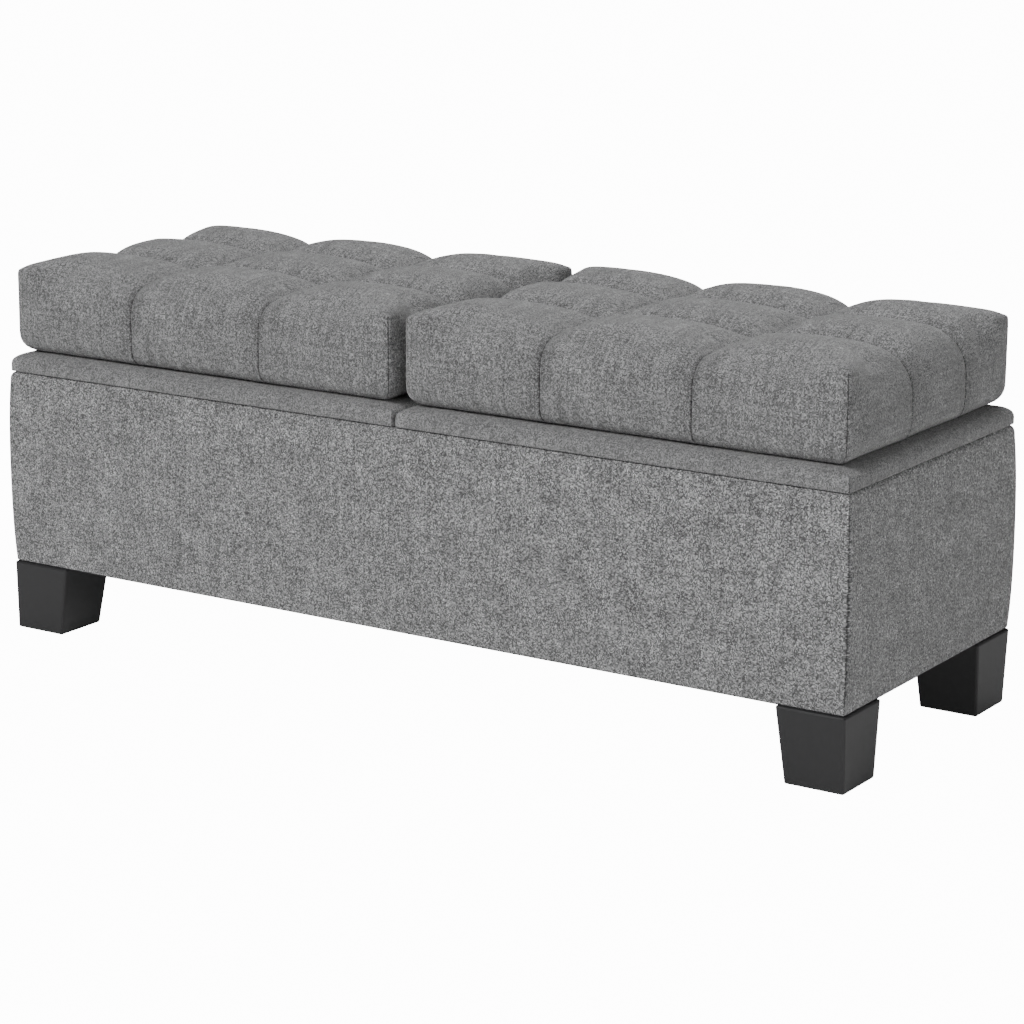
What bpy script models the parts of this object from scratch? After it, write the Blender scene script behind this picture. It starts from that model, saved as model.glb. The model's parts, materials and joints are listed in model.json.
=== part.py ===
"""Storage bench with two flip-up lids, modelled as the separate pieces it is put together from.

Units are metres and +Z is up.  The long side runs along X and the front faces -Y.
The origin is on the floor under the middle of the bench.
"""
import math

import bmesh
import bpy
from mathutils import Matrix, Vector

# ---------------------------------------------------------------- driving dimensions
GAP = 0.0003              # air left between pieces that touch
BENCH_WIDTH = 1.150       # body, measured at its top and bottom edges
BENCH_DEPTH = 0.404
BODY_BOTTOM = 0.0870      # lower edge of the padded body
BODY_TOP = 0.3222         # upper edge of the wooden panels
BULGE = 0.0027            # how far the padding stands out at half height

BOARD = 0.015             # thickness of panels and lids
THIN_BOARD = 0.012        # thickness of the floor and the divider
PADDING = 0.005           # foam on the panels
FABRIC = 0.0015           # outer cover
LINING = 0.0008           # non-woven cloth inside and underneath
COVER_TOP = 0.3185        # where the body's cover stops, clear of the hinge knuckles
CORNER_ROUND = 0.003

LEG_HEIGHT = 0.0856
LEG_TOP = 0.083           # square upper end of a leg
LEG_INNER_TAPER = 0.012   # how far each face leans in on its way down
LEG_REAR_TAPER = 0.010
LEG_FRONT_TAPER = 0.0015
LEG_ROUND = 0.0025
BLOCK_SIZE = 0.070
BLOCK_HEIGHT = 0.015
BOLT_RADIUS = 0.004
BOLT_IN_LEG = 0.035
BOLT_CLEARANCE = 0.0003

LID_BOTTOM = 0.3237
LID_TOP = 0.3470
LID_INSET = 0.0025        # lid edge behind the body's edge
LID_SPLIT = 0.0024        # air between the two lids
LID_ROUND = 0.007
LID_WRAP = 0.0022         # foam wrapped round the edge of the lid board

CUSHION_INSET = 0.0095    # cushion side behind the body's edge
CUSHION_SPLIT = 0.0195    # air between the two cushions
CUSHION_EDGE_TOP = 0.4460
CUSHION_CROWN = 0.4615
CUSHION_FOOT_ROUND = 0.018
CUSHION_EDGE_ROUND = 0.005

HINGE_Y = 0.2027
HINGE_Z = BODY_TOP
HINGE_LENGTH = 0.060
HINGE_REACH = 0.024       # from the pin to the far edge of a leaf
KNUCKLE_RADIUS = 0.0030
KNUCKLE_END = 0.018       # length of each outer knuckle
PIN_RADIUS = 0.0015
LEAF_NEAR = 0.0002        # a leaf lies between these heights from the pin's axis
LEAF_FAR = 0.0012
HINGE_CENTRES = (0.105, 0.465)

STAY_ARM_RADIUS = 0.105   # hinge pin to the stay's pivot, and to its fixed stud
STAY_PIVOT_DROP = 0.0145  # pivot below the hinge pin when the lid is shut
STAY_REST_ANGLE = math.radians(22.0)
LID_OPEN_ANGLE = math.radians(95.0)
STAY_WIDTH = 0.012
STAY_THICKNESS = 0.002
STAY_STUD_RADIUS = 0.0020
STAY_SLOT_CLEARANCE = 0.0004

ROUND_SIDES = 24

# ---------------------------------------------------------------- values worked out from them
HALF_W = BENCH_WIDTH / 2
HALF_D = BENCH_DEPTH / 2
PAD_OUT = FABRIC + GAP                       # depth of the padding's outer face
PAD_IN = PAD_OUT + PADDING
PANEL_OUT = PAD_IN + GAP
PANEL_IN = PANEL_OUT + BOARD                 # depth of the panel's inner face
INNER_W = HALF_W - PANEL_IN                  # half size of the box inside the panels
INNER_D = HALF_D - PANEL_IN
FLOOR_LOW = BODY_BOTTOM + BLOCK_HEIGHT + GAP
FLOOR_TOP = FLOOR_LOW + THIN_BOARD
LEG_CENTRE_X = HALF_W - LEG_TOP / 2
LEG_CENTRE_Y = HALF_D - LEG_TOP / 2
SIDES = (("left", -1), ("right", 1))


# ---------------------------------------------------------------- helpers
def clear_scene():
    """Remove whatever the opening file holds."""
    for thing in list(bpy.data.objects):
        bpy.data.objects.remove(thing, do_unlink=True)


def make_material(name, colour, roughness, metallic=0.0):
    """Make a plain Principled material with a linear RGB colour."""
    material = bpy.data.materials.new(name)
    material.use_nodes = True
    shader = material.node_tree.nodes["Principled BSDF"]
    shader.inputs["Base Color"].default_value = (*colour, 1.0)
    shader.inputs["Roughness"].default_value = roughness
    shader.inputs["Metallic"].default_value = metallic
    return material


def finish(name, bm, material, parent=None, smooth=False):
    """Turn a bmesh into a named object, hung on its parent empty without moving it."""
    bmesh.ops.recalc_face_normals(bm, faces=bm.faces)
    mesh = bpy.data.meshes.new(name)
    bm.to_mesh(mesh)
    bm.free()
    if smooth:
        mesh.shade_smooth()
        mesh.set_sharp_from_angle(angle=math.radians(35))
    thing = bpy.data.objects.new(name, mesh)
    bpy.context.scene.collection.objects.link(thing)
    if material is not None:
        mesh.materials.append(material)
    if parent is not None:
        thing.parent = parent
        thing.matrix_parent_inverse = Matrix.Translation(-parent.location)
    return thing


def ordered(low, high):
    """Sort two corners so that the first is the lower one on every axis."""
    return (tuple(min(a, b) for a, b in zip(low, high)),
            tuple(max(a, b) for a, b in zip(low, high)))


def box_mesh(low, high):
    """Make a bmesh box between two corners."""
    low, high = ordered(low, high)
    size = [b - a for a, b in zip(low, high)]
    middle = [(a + b) / 2 for a, b in zip(low, high)]
    bm = bmesh.new()
    bmesh.ops.create_cube(bm, size=1.0)
    bmesh.ops.scale(bm, vec=size, verts=bm.verts)
    bmesh.ops.translate(bm, vec=middle, verts=bm.verts)
    return bm


def box(name, low, high, material, parent=None):
    """Make a box object between two corners."""
    return finish(name, box_mesh(low, high), material, parent)


def arc(centre, radius, start, end, steps):
    """List the points of an arc in a plane, from one angle to another."""
    points = []
    for step in range(steps + 1):
        angle = start + (end - start) * step / steps
        points.append((centre[0] + radius * math.cos(angle), centre[1] + radius * math.sin(angle)))
    return points


def rounded_outline(half_w, half_d, radius, centre=(0.0, 0.0), steps=3):
    """List the points of a rectangle with round corners."""
    points = []
    for quarter, (sx, sy) in enumerate(((1, 1), (-1, 1), (-1, -1), (1, -1))):
        corner = (centre[0] + sx * (half_w - radius), centre[1] + sy * (half_d - radius))
        start = quarter * math.pi / 2
        points += arc(corner, radius, start, start + math.pi / 2, steps)
    return points


def prism(name, outline, start_x, end_x, material, parent=None, smooth=False):
    """Extrude an outline of (y, z) points along X."""
    bm = bmesh.new()
    verts = [bm.verts.new((start_x, y, z)) for y, z in outline]
    face = bm.faces.new(verts)
    moved = bmesh.ops.extrude_face_region(bm, geom=[face])["geom"]
    new_verts = [item for item in moved if isinstance(item, bmesh.types.BMVert)]
    bmesh.ops.translate(bm, vec=(end_x - start_x, 0, 0), verts=new_verts)
    return finish(name, bm, material, parent, smooth)


def loft(name, loops, material, parent=None, ring=False, smooth=False):
    """Skin a stack of equal loops; the ends are capped, or joined up when it is a ring."""
    bm = bmesh.new()
    rows = [[bm.verts.new(point) for point in loop] for loop in loops]
    pairs = list(zip(rows, rows[1:]))
    if ring:
        pairs.append((rows[-1], rows[0]))
    for lower, upper in pairs:
        count = len(lower)
        for index in range(count):
            after = (index + 1) % count
            bm.faces.new((lower[index], lower[after], upper[after], upper[index]))
    if not ring:
        bm.faces.new(rows[0])
        bm.faces.new(rows[-1])
    return finish(name, bm, material, parent, smooth)


def turned(name, profile, centre, axis, material, parent=None):
    """Turn a profile of (distance along the axis, radius) points about an axis."""
    loops = []
    for along, radius in profile:
        loop = []
        for a, b in arc((0.0, 0.0), radius, 0.0, 2 * math.pi, ROUND_SIDES)[:-1]:
            offset = (a, b, along) if axis == "Z" else (along, a, b)
            loop.append(Vector(centre) + Vector(offset))
        loops.append(loop)
    return loft(name, loops, material, parent, smooth=True)


def cut(thing, cutter, operation="DIFFERENCE"):
    """Cut one object with another, which then stays as a hidden guide."""
    cutter.hide_render = True
    cutter.display_type = "WIRE"
    modifier = thing.modifiers.new(cutter.name, "BOOLEAN")
    modifier.operation = operation
    modifier.solver = "EXACT"
    modifier.object = cutter


def make_empty(name, location):
    """Mark a joint's axis with an empty."""
    empty = bpy.data.objects.new(name, None)
    empty.location = location
    empty.empty_display_size = 0.03
    bpy.context.scene.collection.objects.link(empty)
    return empty


# ---------------------------------------------------------------- the wooden box
def make_panels(wood):
    """Four wall panels, the floor and the divider between the two compartments."""
    long_half = HALF_W - PANEL_OUT
    for name, side in (("front_panel", -1), ("rear_panel", 1)):
        panel = box(name, (-long_half, side * INNER_D, BODY_BOTTOM),
                    (long_half, side * (HALF_D - PANEL_OUT), BODY_TOP), wood)
        if side > 0:
            cut_hinge_recesses(panel)
    for name, side in SIDES:
        box(f"{name}_end_panel", (side * INNER_W, -INNER_D + GAP, BODY_BOTTOM),
            (side * long_half, INNER_D - GAP, BODY_TOP), wood)
    half_w = INNER_W - GAP
    half_d = INNER_D - GAP
    box("floor_panel", (-half_w, -half_d, FLOOR_LOW), (half_w, half_d, FLOOR_TOP), wood)
    box("centre_divider", (-THIN_BOARD / 2, -half_d, FLOOR_TOP + GAP),
        (THIN_BOARD / 2, half_d, BODY_TOP), wood)


def cut_hinge_recesses(panel):
    """Sink the lower hinge leaves into the rear panel's top edge."""
    slack = 0.0005
    for side_name, side in SIDES:
        for number, centre in enumerate(HINGE_CENTRES, 1):
            middle = side * centre
            reach = HINGE_LENGTH / 2 + slack
            low = (middle - reach, INNER_D - slack, HINGE_Z - LEAF_FAR - GAP)
            high = (middle + reach, HALF_D, BODY_TOP + slack)
            cut(panel, box(f"recess_{side_name}_{number}", low, high, None))


def make_blocks_and_legs(wood, leg_paint, steel, cloth):
    """Corner blocks, tapered legs, the bolts that hold them, and the cloth underneath."""
    cloth_low = LEG_HEIGHT + GAP
    half_w = HALF_W - PANEL_OUT - GAP
    half_d = HALF_D - PANEL_OUT - GAP
    dust_cover = box("underside_cloth", (-half_w, -half_d, cloth_low),
                     (half_w, half_d, cloth_low + LINING), cloth)
    for side_name, side in SIDES:
        for end_name, end in (("front", -1), ("rear", 1)):
            place = f"{end_name}_{side_name}"
            centre = (side * LEG_CENTRE_X, end * LEG_CENTRE_Y, 0.0)
            leg = make_leg(f"{place}_leg", side, centre, leg_paint)
            outer = (side * (INNER_W - GAP), end * (INNER_D - GAP), BODY_BOTTOM)
            inner = (outer[0] - side * BLOCK_SIZE, outer[1] - end * BLOCK_SIZE,
                     BODY_BOTTOM + BLOCK_HEIGHT)
            block = box(f"{place}_corner_block", outer, inner, wood)
            bolt_low = LEG_HEIGHT - BOLT_IN_LEG
            bolt_high = BODY_BOTTOM + BLOCK_HEIGHT - 0.001
            bolt = [(bolt_low, BOLT_RADIUS * 0.6), (bolt_low + 0.002, BOLT_RADIUS),
                    (bolt_high - 0.001, BOLT_RADIUS), (bolt_high, BOLT_RADIUS * 0.75)]
            turned(f"{place}_leg_bolt", bolt, centre, "Z", steel)
            hole_radius = BOLT_RADIUS + BOLT_CLEARANCE
            hole = turned(f"{place}_bolt_hole",
                          [(bolt_low - GAP, hole_radius), (bolt_high + 0.01, hole_radius)],
                          centre, "Z", None)
            for thing in (leg, block, dust_cover):
                cut(thing, hole)


def make_leg(name, side, centre, leg_paint):
    """A square block whose inner, rear and front faces lean in towards the foot."""
    half = LEG_TOP / 2
    bm = box_mesh((-half, -half, 0.0), (half, half, LEG_HEIGHT))
    for vert in bm.verts:
        if vert.co.z < LEG_HEIGHT / 2:
            if vert.co.x * side < 0:
                vert.co.x += side * LEG_INNER_TAPER
            vert.co.y += LEG_FRONT_TAPER if vert.co.y < 0 else -LEG_REAR_TAPER
        vert.co += Vector(centre)
    bmesh.ops.bevel(bm, geom=bm.edges[:], offset=LEG_ROUND, segments=2, profile=0.5,
                    affect="EDGES")
    return finish(name, bm, leg_paint, smooth=True)


# ---------------------------------------------------------------- padding, cover and linings
def bulge_at(z):
    """How far the padding stands out at a height: nothing at the edges, most at the middle."""
    middle = (BODY_BOTTOM + COVER_TOP) / 2
    reach = (COVER_TOP - BODY_BOTTOM) / 2
    return BULGE * (1.0 - ((z - middle) / reach) ** 2)


def body_levels(low, high, count=8):
    """Heights at which the body's padded walls are shaped."""
    return [low + (high - low) * step / count for step in range(count + 1)]


def make_padding(foam):
    """Foam sheets on the four walls, thickest at half height."""
    levels = body_levels(BODY_BOTTOM + GAP, COVER_TOP - GAP)
    long_half = HALF_W - PANEL_OUT
    for name, side in (("front_foam", -1), ("rear_foam", 1)):
        outer = [(side * (HALF_D - PAD_OUT + bulge_at(z)), z) for z in levels]
        inner = [(side * (HALF_D - PAD_IN), z) for z in reversed(levels)]
        prism(name, outer + inner, -long_half, long_half, foam)
    for name, side in SIDES:
        loops = []
        for z in levels:
            near = HALF_W - PAD_IN
            far = HALF_W - PAD_OUT + bulge_at(z)
            reach = HALF_D - PAD_OUT + bulge_at(z)
            round_off = CORNER_ROUND
            outline = [(near, -reach), (far - round_off, -reach), (far, -reach + round_off),
                       (far, reach - round_off), (far - round_off, reach), (near, reach)]
            loops.append([(side * x, y, z) for x, y in outline])
        loft(f"{name}_foam", loops, foam)


def make_body_cover(fabric):
    """The sewn sleeve of cover fabric around the four walls."""
    levels = body_levels(BODY_BOTTOM, COVER_TOP)
    loops = []
    for depth, heights in ((0.0, levels), (FABRIC, reversed(levels))):
        for z in heights:
            out = bulge_at(z) - depth
            outline = rounded_outline(HALF_W + out, HALF_D + out, CORNER_ROUND - depth)
            loops.append([(x, y, z) for x, y in outline])
    loft("body_cover", loops, fabric, ring=True)


def make_linings(cloth):
    """An open bag of thin cloth in each compartment."""
    top = BODY_TOP - 0.0012
    for name, side in SIDES:
        low = (side * (THIN_BOARD / 2 + GAP), -(INNER_D - 2 * GAP), FLOOR_TOP + GAP)
        high = (side * (INNER_W - GAP), INNER_D - 2 * GAP, top)
        bm = box_mesh(low, high)
        bm.faces.ensure_lookup_table()
        mouth = max(bm.faces, key=lambda face: face.calc_center_median().z)
        bmesh.ops.inset_individual(bm, faces=[mouth], thickness=LINING)
        sunk = bmesh.ops.extrude_face_region(bm, geom=[mouth])["geom"]
        verts = [item for item in sunk if isinstance(item, bmesh.types.BMVert)]
        bmesh.ops.translate(bm, vec=(0, 0, FLOOR_TOP + GAP + LINING - top), verts=verts)
        bmesh.ops.delete(bm, geom=[mouth], context="FACES_ONLY")
        finish(f"{name}_lining", bm, cloth)


# ---------------------------------------------------------------- lids
def shell_loops(centre, half_w, half_d, profile, radius):
    """Loops of a rounded rectangle that follow a profile of (inset, height) points."""
    loops = []
    for inset, z in profile:
        outline = rounded_outline(half_w - inset, half_d - inset, max(radius - inset, 0.0008), centre)
        loops.append([(x, y, z) for x, y in outline])
    return loops


def lid_profile(depth):
    """Outer or inner skin of a lid's edge, from its lower rim to its flat top."""
    top = LID_TOP - depth
    radius = LID_ROUND - depth
    points = [(depth, LID_BOTTOM)]
    for step in range(5):
        angle = math.pi / 2 * step / 4
        points.append((depth + radius * (1 - math.cos(angle)), top - radius * (1 - math.sin(angle))))
    return points


def make_lid(name, side, parent, wood, foam, fabric, cloth):
    """The lid board with its foam wrap, fabric cover and underside cloth."""
    near = LID_SPLIT / 2
    far = HALF_W - LID_INSET
    centre = (side * (near + far) / 2, 0.0)
    half_w = (far - near) / 2
    half_d = HALF_D - LID_INSET
    board_inset = FABRIC + LID_WRAP + 2 * GAP
    cloth_top = LID_BOTTOM + LINING
    board_low = cloth_top + GAP
    board_top = board_low + BOARD

    cover = shell_loops(centre, half_w, half_d, list(reversed(lid_profile(FABRIC))), CORNER_ROUND)
    cover += shell_loops(centre, half_w, half_d, lid_profile(0.0), CORNER_ROUND)
    loft(f"{name}_lid_cover", cover, fabric, parent)

    wrap_out = FABRIC + GAP
    outside = [(inset, max(z, board_low)) for inset, z in lid_profile(wrap_out)]
    inside = [(board_inset - GAP, board_top + GAP), (board_inset - GAP, board_low)]
    wrap = shell_loops(centre, half_w, half_d, inside, CORNER_ROUND)
    wrap += shell_loops(centre, half_w, half_d, outside, CORNER_ROUND)
    loft(f"{name}_lid_foam", wrap, foam, parent)

    board = [(board_inset, board_low), (board_inset, board_top)]
    loft(f"{name}_lid_board", shell_loops(centre, half_w, half_d, board, CORNER_ROUND), wood, parent)

    cloth_inset = FABRIC + GAP
    sheet = [(cloth_inset, LID_BOTTOM), (cloth_inset, cloth_top)]
    loft(f"{name}_lid_lining", shell_loops(centre, half_w, half_d, sheet, CORNER_ROUND), cloth, parent)


def cushion_profile(depth, half_d):
    """Side of a cushion from its foot to the middle of its crowned top."""
    low = LID_TOP + GAP
    foot = CUSHION_FOOT_ROUND - depth
    edge = CUSHION_EDGE_ROUND - depth
    edge_top = CUSHION_EDGE_TOP - depth
    points = []
    for step in range(5):
        angle = math.pi / 2 * step / 4
        inset = depth + foot * (1 - math.sin(angle))
        points.append((inset, low + CUSHION_FOOT_ROUND - foot * math.cos(angle)))
    for step in range(3):
        angle = math.pi / 2 * step / 2
        points.append((depth + edge * (1 - math.cos(angle)), edge_top - edge * (1 - math.sin(angle))))
    rise = CUSHION_CROWN - CUSHION_EDGE_TOP
    start = points[-1][0]
    reach = half_d - start - 0.02
    for step in range(1, 6):
        share = step / 5
        points.append((start + reach * share, edge_top + rise * math.sin(math.pi / 2 * share)))
    return points


def make_cushion(name, side, parent, foam, fabric):
    """A block of foam with a crowned top, in a fabric case that is open at the bottom."""
    near = CUSHION_SPLIT / 2
    far = HALF_W - CUSHION_INSET
    centre = (side * (near + far) / 2, 0.0)
    half_w = (far - near) / 2
    half_d = HALF_D - CUSHION_INSET
    inner = list(reversed(cushion_profile(FABRIC, half_d)))
    inner[-1] = (inner[-1][0], LID_TOP + GAP)
    case = shell_loops(centre, half_w, half_d, inner, CUSHION_EDGE_ROUND)
    case += shell_loops(centre, half_w, half_d, cushion_profile(0.0, half_d), CUSHION_EDGE_ROUND)
    loft(f"{name}_cushion_cover", case, fabric, parent, smooth=True)
    core = cushion_profile(FABRIC + GAP, half_d)
    core[0] = (core[0][0], LID_TOP + GAP)
    loft(f"{name}_cushion_foam",
         shell_loops(centre, half_w, half_d, core, CUSHION_EDGE_ROUND), foam, parent, smooth=True)


# ---------------------------------------------------------------- hinges
def leaf_outline(flip):
    """A hinge leaf's end view: a thin plate that runs into a round knuckle."""
    start = math.atan2(-LEAF_FAR, -math.sqrt(KNUCKLE_RADIUS ** 2 - LEAF_FAR ** 2))
    end = math.atan2(-LEAF_NEAR, -math.sqrt(KNUCKLE_RADIUS ** 2 - LEAF_NEAR ** 2))
    turn = end - start + 2 * math.pi
    points = arc((0.0, 0.0), KNUCKLE_RADIUS, start, start + turn, ROUND_SIDES)
    points += [(-HINGE_REACH, -LEAF_NEAR), (-HINGE_REACH, -LEAF_FAR)]
    return [(HINGE_Y + y, HINGE_Z + flip * z) for y, z in points]


def make_hinge(label, side, distance, lid_parent, steel):
    """A butt hinge: lower leaf and pin on the body, upper leaf on the lid."""
    middle = side * distance
    half = HINGE_LENGTH / 2
    inner = half - KNUCKLE_END
    clear = KNUCKLE_RADIUS + 0.0005
    lower = prism(f"{label}_hinge_lower_leaf", leaf_outline(1), middle - half, middle + half, steel)
    upper = prism(f"{label}_hinge_upper_leaf", leaf_outline(-1), middle - half, middle + half,
                  steel, lid_parent)
    spans = {lower: [(-inner - GAP, inner + GAP)],
             upper: [(-half - GAP, -inner), (inner, half + GAP)]}
    bore_profile = [(-half - 0.004, PIN_RADIUS + GAP), (half + 0.004, PIN_RADIUS + GAP)]
    axis_point = (middle, HINGE_Y, HINGE_Z)
    for leaf, gaps in spans.items():
        for number, (start, end) in enumerate(gaps, 1):
            low = (middle + start, HINGE_Y - clear, HINGE_Z - clear)
            high = (middle + end, HINGE_Y + clear, HINGE_Z + clear)
            cut(leaf, box(f"{leaf.name}_gap_{number}", low, high, None))
        cut(leaf, turned(f"{leaf.name}_bore", bore_profile, axis_point, "X", None))
    head = PIN_RADIUS * 1.6
    pin = [(half + 0.0015, head), (half + GAP, head), (half + GAP, PIN_RADIUS),
           (-half - 0.0008, PIN_RADIUS), (-half - 0.0012, PIN_RADIUS * 0.7)]
    pin = [(side * along, radius) for along, radius in pin]
    turned(f"{label}_hinge_pin", pin, axis_point, "X", steel)


# ---------------------------------------------------------------- lid stays
def on_circle(angle):
    """A point at the stay's radius from the hinge pin, as (y, z); angle 0 points at the front."""
    return (HINGE_Y - STAY_ARM_RADIUS * math.cos(angle), HINGE_Z - STAY_ARM_RADIUS * math.sin(angle))


PIVOT_ANGLE = math.asin(STAY_PIVOT_DROP / STAY_ARM_RADIUS)
PIVOT = on_circle(PIVOT_ANGLE)
STUD = on_circle(PIVOT_ANGLE + STAY_REST_ANGLE)
STUD_REST = 2 * STAY_ARM_RADIUS * math.sin(STAY_REST_ANGLE / 2)
STUD_OPEN = 2 * STAY_ARM_RADIUS * math.sin((STAY_REST_ANGLE + LID_OPEN_ANGLE) / 2)
STAY_X = INNER_W - 0.0071          # outer face of the arm
STUD_BASE_X = INNER_W - 0.0014     # plates that lie on the lining
STUD_BASE_T = 0.0015
STUD_HEAD_X = STAY_X - STAY_THICKNESS - 0.0014
STUD_HEAD_T = 0.0015


def along_arm(distance, offset):
    """A point of the shut stay, from the pivot towards the stud, as (y, z)."""
    length = math.dist(PIVOT, STUD)
    dy = (STUD[0] - PIVOT[0]) / length
    dz = (STUD[1] - PIVOT[1]) / length
    return (PIVOT[0] + dy * distance - dz * offset, PIVOT[1] + dz * distance + dy * offset)


def capsule(start, end, radius, steps=10):
    """Outline of a bar with round ends that runs along the stay, as (y, z) points."""
    points = arc((start, 0.0), radius, math.pi / 2, 3 * math.pi / 2, steps)
    points += arc((end, 0.0), radius, -math.pi / 2, math.pi / 2, steps)
    return [along_arm(distance, offset) for distance, offset in points]


def make_stay(name, side, lid_parent, steel):
    """A slotted flat arm that hangs from the lid and slides on a stud on the end panel."""
    half = STAY_WIDTH / 2
    slot_half = STAY_STUD_RADIUS + STAY_SLOT_CLEARANCE
    slack = 0.0006
    arm_axis = make_empty(f"{name}_stay_axis", (0.0, PIVOT[0], PIVOT[1]))
    start_x = side * STAY_X
    end_x = side * (STAY_X - STAY_THICKNESS)
    arm = prism(f"{name}_stay_arm", capsule(0.0, STUD_OPEN + slack, half), start_x, end_x,
                steel, arm_axis)
    over = side * 0.002
    slot = capsule(STUD_REST - slack, STUD_OPEN + slack, slot_half)
    cut(arm, prism(f"{name}_stay_slot", slot, start_x + over, end_x - over, None))
    eye = capsule(0.0, 0.00001, slot_half)
    cut(arm, prism(f"{name}_stay_eye", eye, start_x + over, end_x - over, None))
    make_stud(name, side, steel)
    make_bracket(name, side, lid_parent, steel)


def pin_profile(side, root_x):
    """A headed pin that points to the middle of the bench, as (x, radius) points."""
    head_near = side * STUD_HEAD_X
    head_far = side * (STUD_HEAD_X - STUD_HEAD_T)
    head = STAY_STUD_RADIUS * 2.2
    return [(side * root_x, STAY_STUD_RADIUS), (head_near, STAY_STUD_RADIUS),
            (head_near, head), (head_far, head * 0.85)]


def make_stud(name, side, steel):
    """The fixed stud on a square plate on the end panel."""
    base = 0.009
    plate = box(f"{name}_stay_stud",
                (side * STUD_BASE_X, STUD[0] - base, STUD[1] - base),
                (side * (STUD_BASE_X - STUD_BASE_T), STUD[0] + base, STUD[1] + base), steel)
    root = STUD_BASE_X - STUD_BASE_T / 2
    pin = turned(f"{name}_stud_pin", pin_profile(side, root), (0.0, *STUD), "X", None)
    cut(plate, pin, "UNION")


def make_bracket(name, side, lid_parent, steel):
    """The angle bracket under the lid that carries the stay's pivot pin."""
    foot_top = LID_BOTTOM - GAP
    foot_low = foot_top - STUD_BASE_T
    reach = 0.017
    ear = 0.007
    bracket = box(f"{name}_stay_bracket", (side * STUD_BASE_X, PIVOT[0] - ear, PIVOT[1] - ear),
                  (side * (STUD_BASE_X - STUD_BASE_T), PIVOT[0] + ear, foot_top), steel, lid_parent)
    root = STUD_BASE_X - STUD_BASE_T / 2
    foot_half = ear + 0.008
    foot = box(f"{name}_bracket_foot", (side * root, PIVOT[0] - foot_half, foot_low),
               (side * (STUD_BASE_X - reach), PIVOT[0] + foot_half, foot_top), None)
    pin = turned(f"{name}_pivot_pin", pin_profile(side, root), (0.0, *PIVOT), "X", None)
    cut(bracket, foot, "UNION")
    cut(bracket, pin, "UNION")


# ---------------------------------------------------------------- the whole bench
def build():
    """Make every piece of the bench."""
    clear_scene()
    wood = make_material("board_wood", (0.43, 0.31, 0.19), 0.75)
    foam = make_material("foam", (0.62, 0.58, 0.45), 0.95)
    body_fabric = make_material("body_fabric", (0.20, 0.20, 0.20), 0.95)
    lid_fabric = make_material("lid_fabric", (0.21, 0.21, 0.21), 0.95)
    cloth = make_material("lining_cloth", (0.02, 0.02, 0.021), 0.95)
    leg_paint = make_material("leg_paint", (0.035, 0.035, 0.035), 0.45)
    steel = make_material("zinc_steel", (0.55, 0.55, 0.54), 0.35, 1.0)

    make_panels(wood)
    make_blocks_and_legs(wood, leg_paint, steel, cloth)
    make_padding(foam)
    make_body_cover(body_fabric)
    make_linings(cloth)
    for name, side in SIDES:
        lid_axis = make_empty(f"{name}_lid_axis", (side * HALF_W / 2, HINGE_Y, HINGE_Z))
        make_lid(name, side, lid_axis, wood, foam, lid_fabric, cloth)
        make_cushion(name, side, lid_axis, foam, lid_fabric)
        for label, centre in zip(("inner", "outer"), HINGE_CENTRES):
            make_hinge(f"{name}_{label}", side, centre, lid_axis, steel)
        make_stay(name, side, lid_axis, steel)


build()
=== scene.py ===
# %% [markdown]
# # A storage bench with two flip-up lids
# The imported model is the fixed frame: boards, hinges, stays, bolts and legs, all in metres.
# This lesson dresses that frame. It sews the body sleeve, wraps the two lids, stuffs the two
# tufted cushions, lines the compartments, adds the small fixings and gives every surface a finish.

# %% Load the frame
import json
import math

import bmesh
import bpy
import numpy as np
from mathutils import Euler, Matrix, Vector, noise

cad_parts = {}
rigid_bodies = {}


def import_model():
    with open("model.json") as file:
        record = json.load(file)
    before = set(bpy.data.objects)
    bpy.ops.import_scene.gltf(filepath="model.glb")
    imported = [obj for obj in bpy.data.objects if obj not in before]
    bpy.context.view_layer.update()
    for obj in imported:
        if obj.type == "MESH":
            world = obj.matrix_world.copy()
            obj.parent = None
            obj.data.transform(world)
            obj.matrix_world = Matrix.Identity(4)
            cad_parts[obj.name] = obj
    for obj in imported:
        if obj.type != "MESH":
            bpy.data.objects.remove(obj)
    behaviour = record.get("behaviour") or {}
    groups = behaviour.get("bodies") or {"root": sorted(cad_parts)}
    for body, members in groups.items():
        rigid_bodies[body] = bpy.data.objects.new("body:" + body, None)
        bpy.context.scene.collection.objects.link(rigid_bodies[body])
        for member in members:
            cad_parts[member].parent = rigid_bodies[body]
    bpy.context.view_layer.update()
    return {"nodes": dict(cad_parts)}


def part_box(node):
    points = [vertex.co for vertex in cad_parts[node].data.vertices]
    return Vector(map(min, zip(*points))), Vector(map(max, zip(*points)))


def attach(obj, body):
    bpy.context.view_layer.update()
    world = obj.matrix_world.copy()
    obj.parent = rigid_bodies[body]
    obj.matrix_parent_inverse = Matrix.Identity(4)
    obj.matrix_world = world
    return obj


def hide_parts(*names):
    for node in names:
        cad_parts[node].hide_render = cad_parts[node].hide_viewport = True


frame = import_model()

# %% [markdown]
# ## Camera
# A long lens from the front right corner, a little above the seat, keeps the bench's lines
# almost parallel. The camera is placed first.
# It is turned with a direction vector: the look direction becomes the camera's -Z axis.

# %% Camera
LENS = 109.6
SENSOR = 36.0
CAMERA_TURN = math.radians(33.54)
CAMERA_RISE = math.radians(14.08)
CAMERA_REACH = 3.6685
CAMERA_TARGET = Vector((0.0253, 0.0028, 0.1875))


def direction(turn, rise):
    """Unit vector from the bench towards a viewer at that turn and rise."""
    level = math.cos(rise)
    return Vector((math.sin(turn) * level, -math.cos(turn) * level, math.sin(rise)))


def look_along(thing, ahead):
    """Turn a camera or lamp so that it looks along a vector."""
    thing.rotation_euler = ahead.to_track_quat("-Z", "Y").to_euler()


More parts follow.
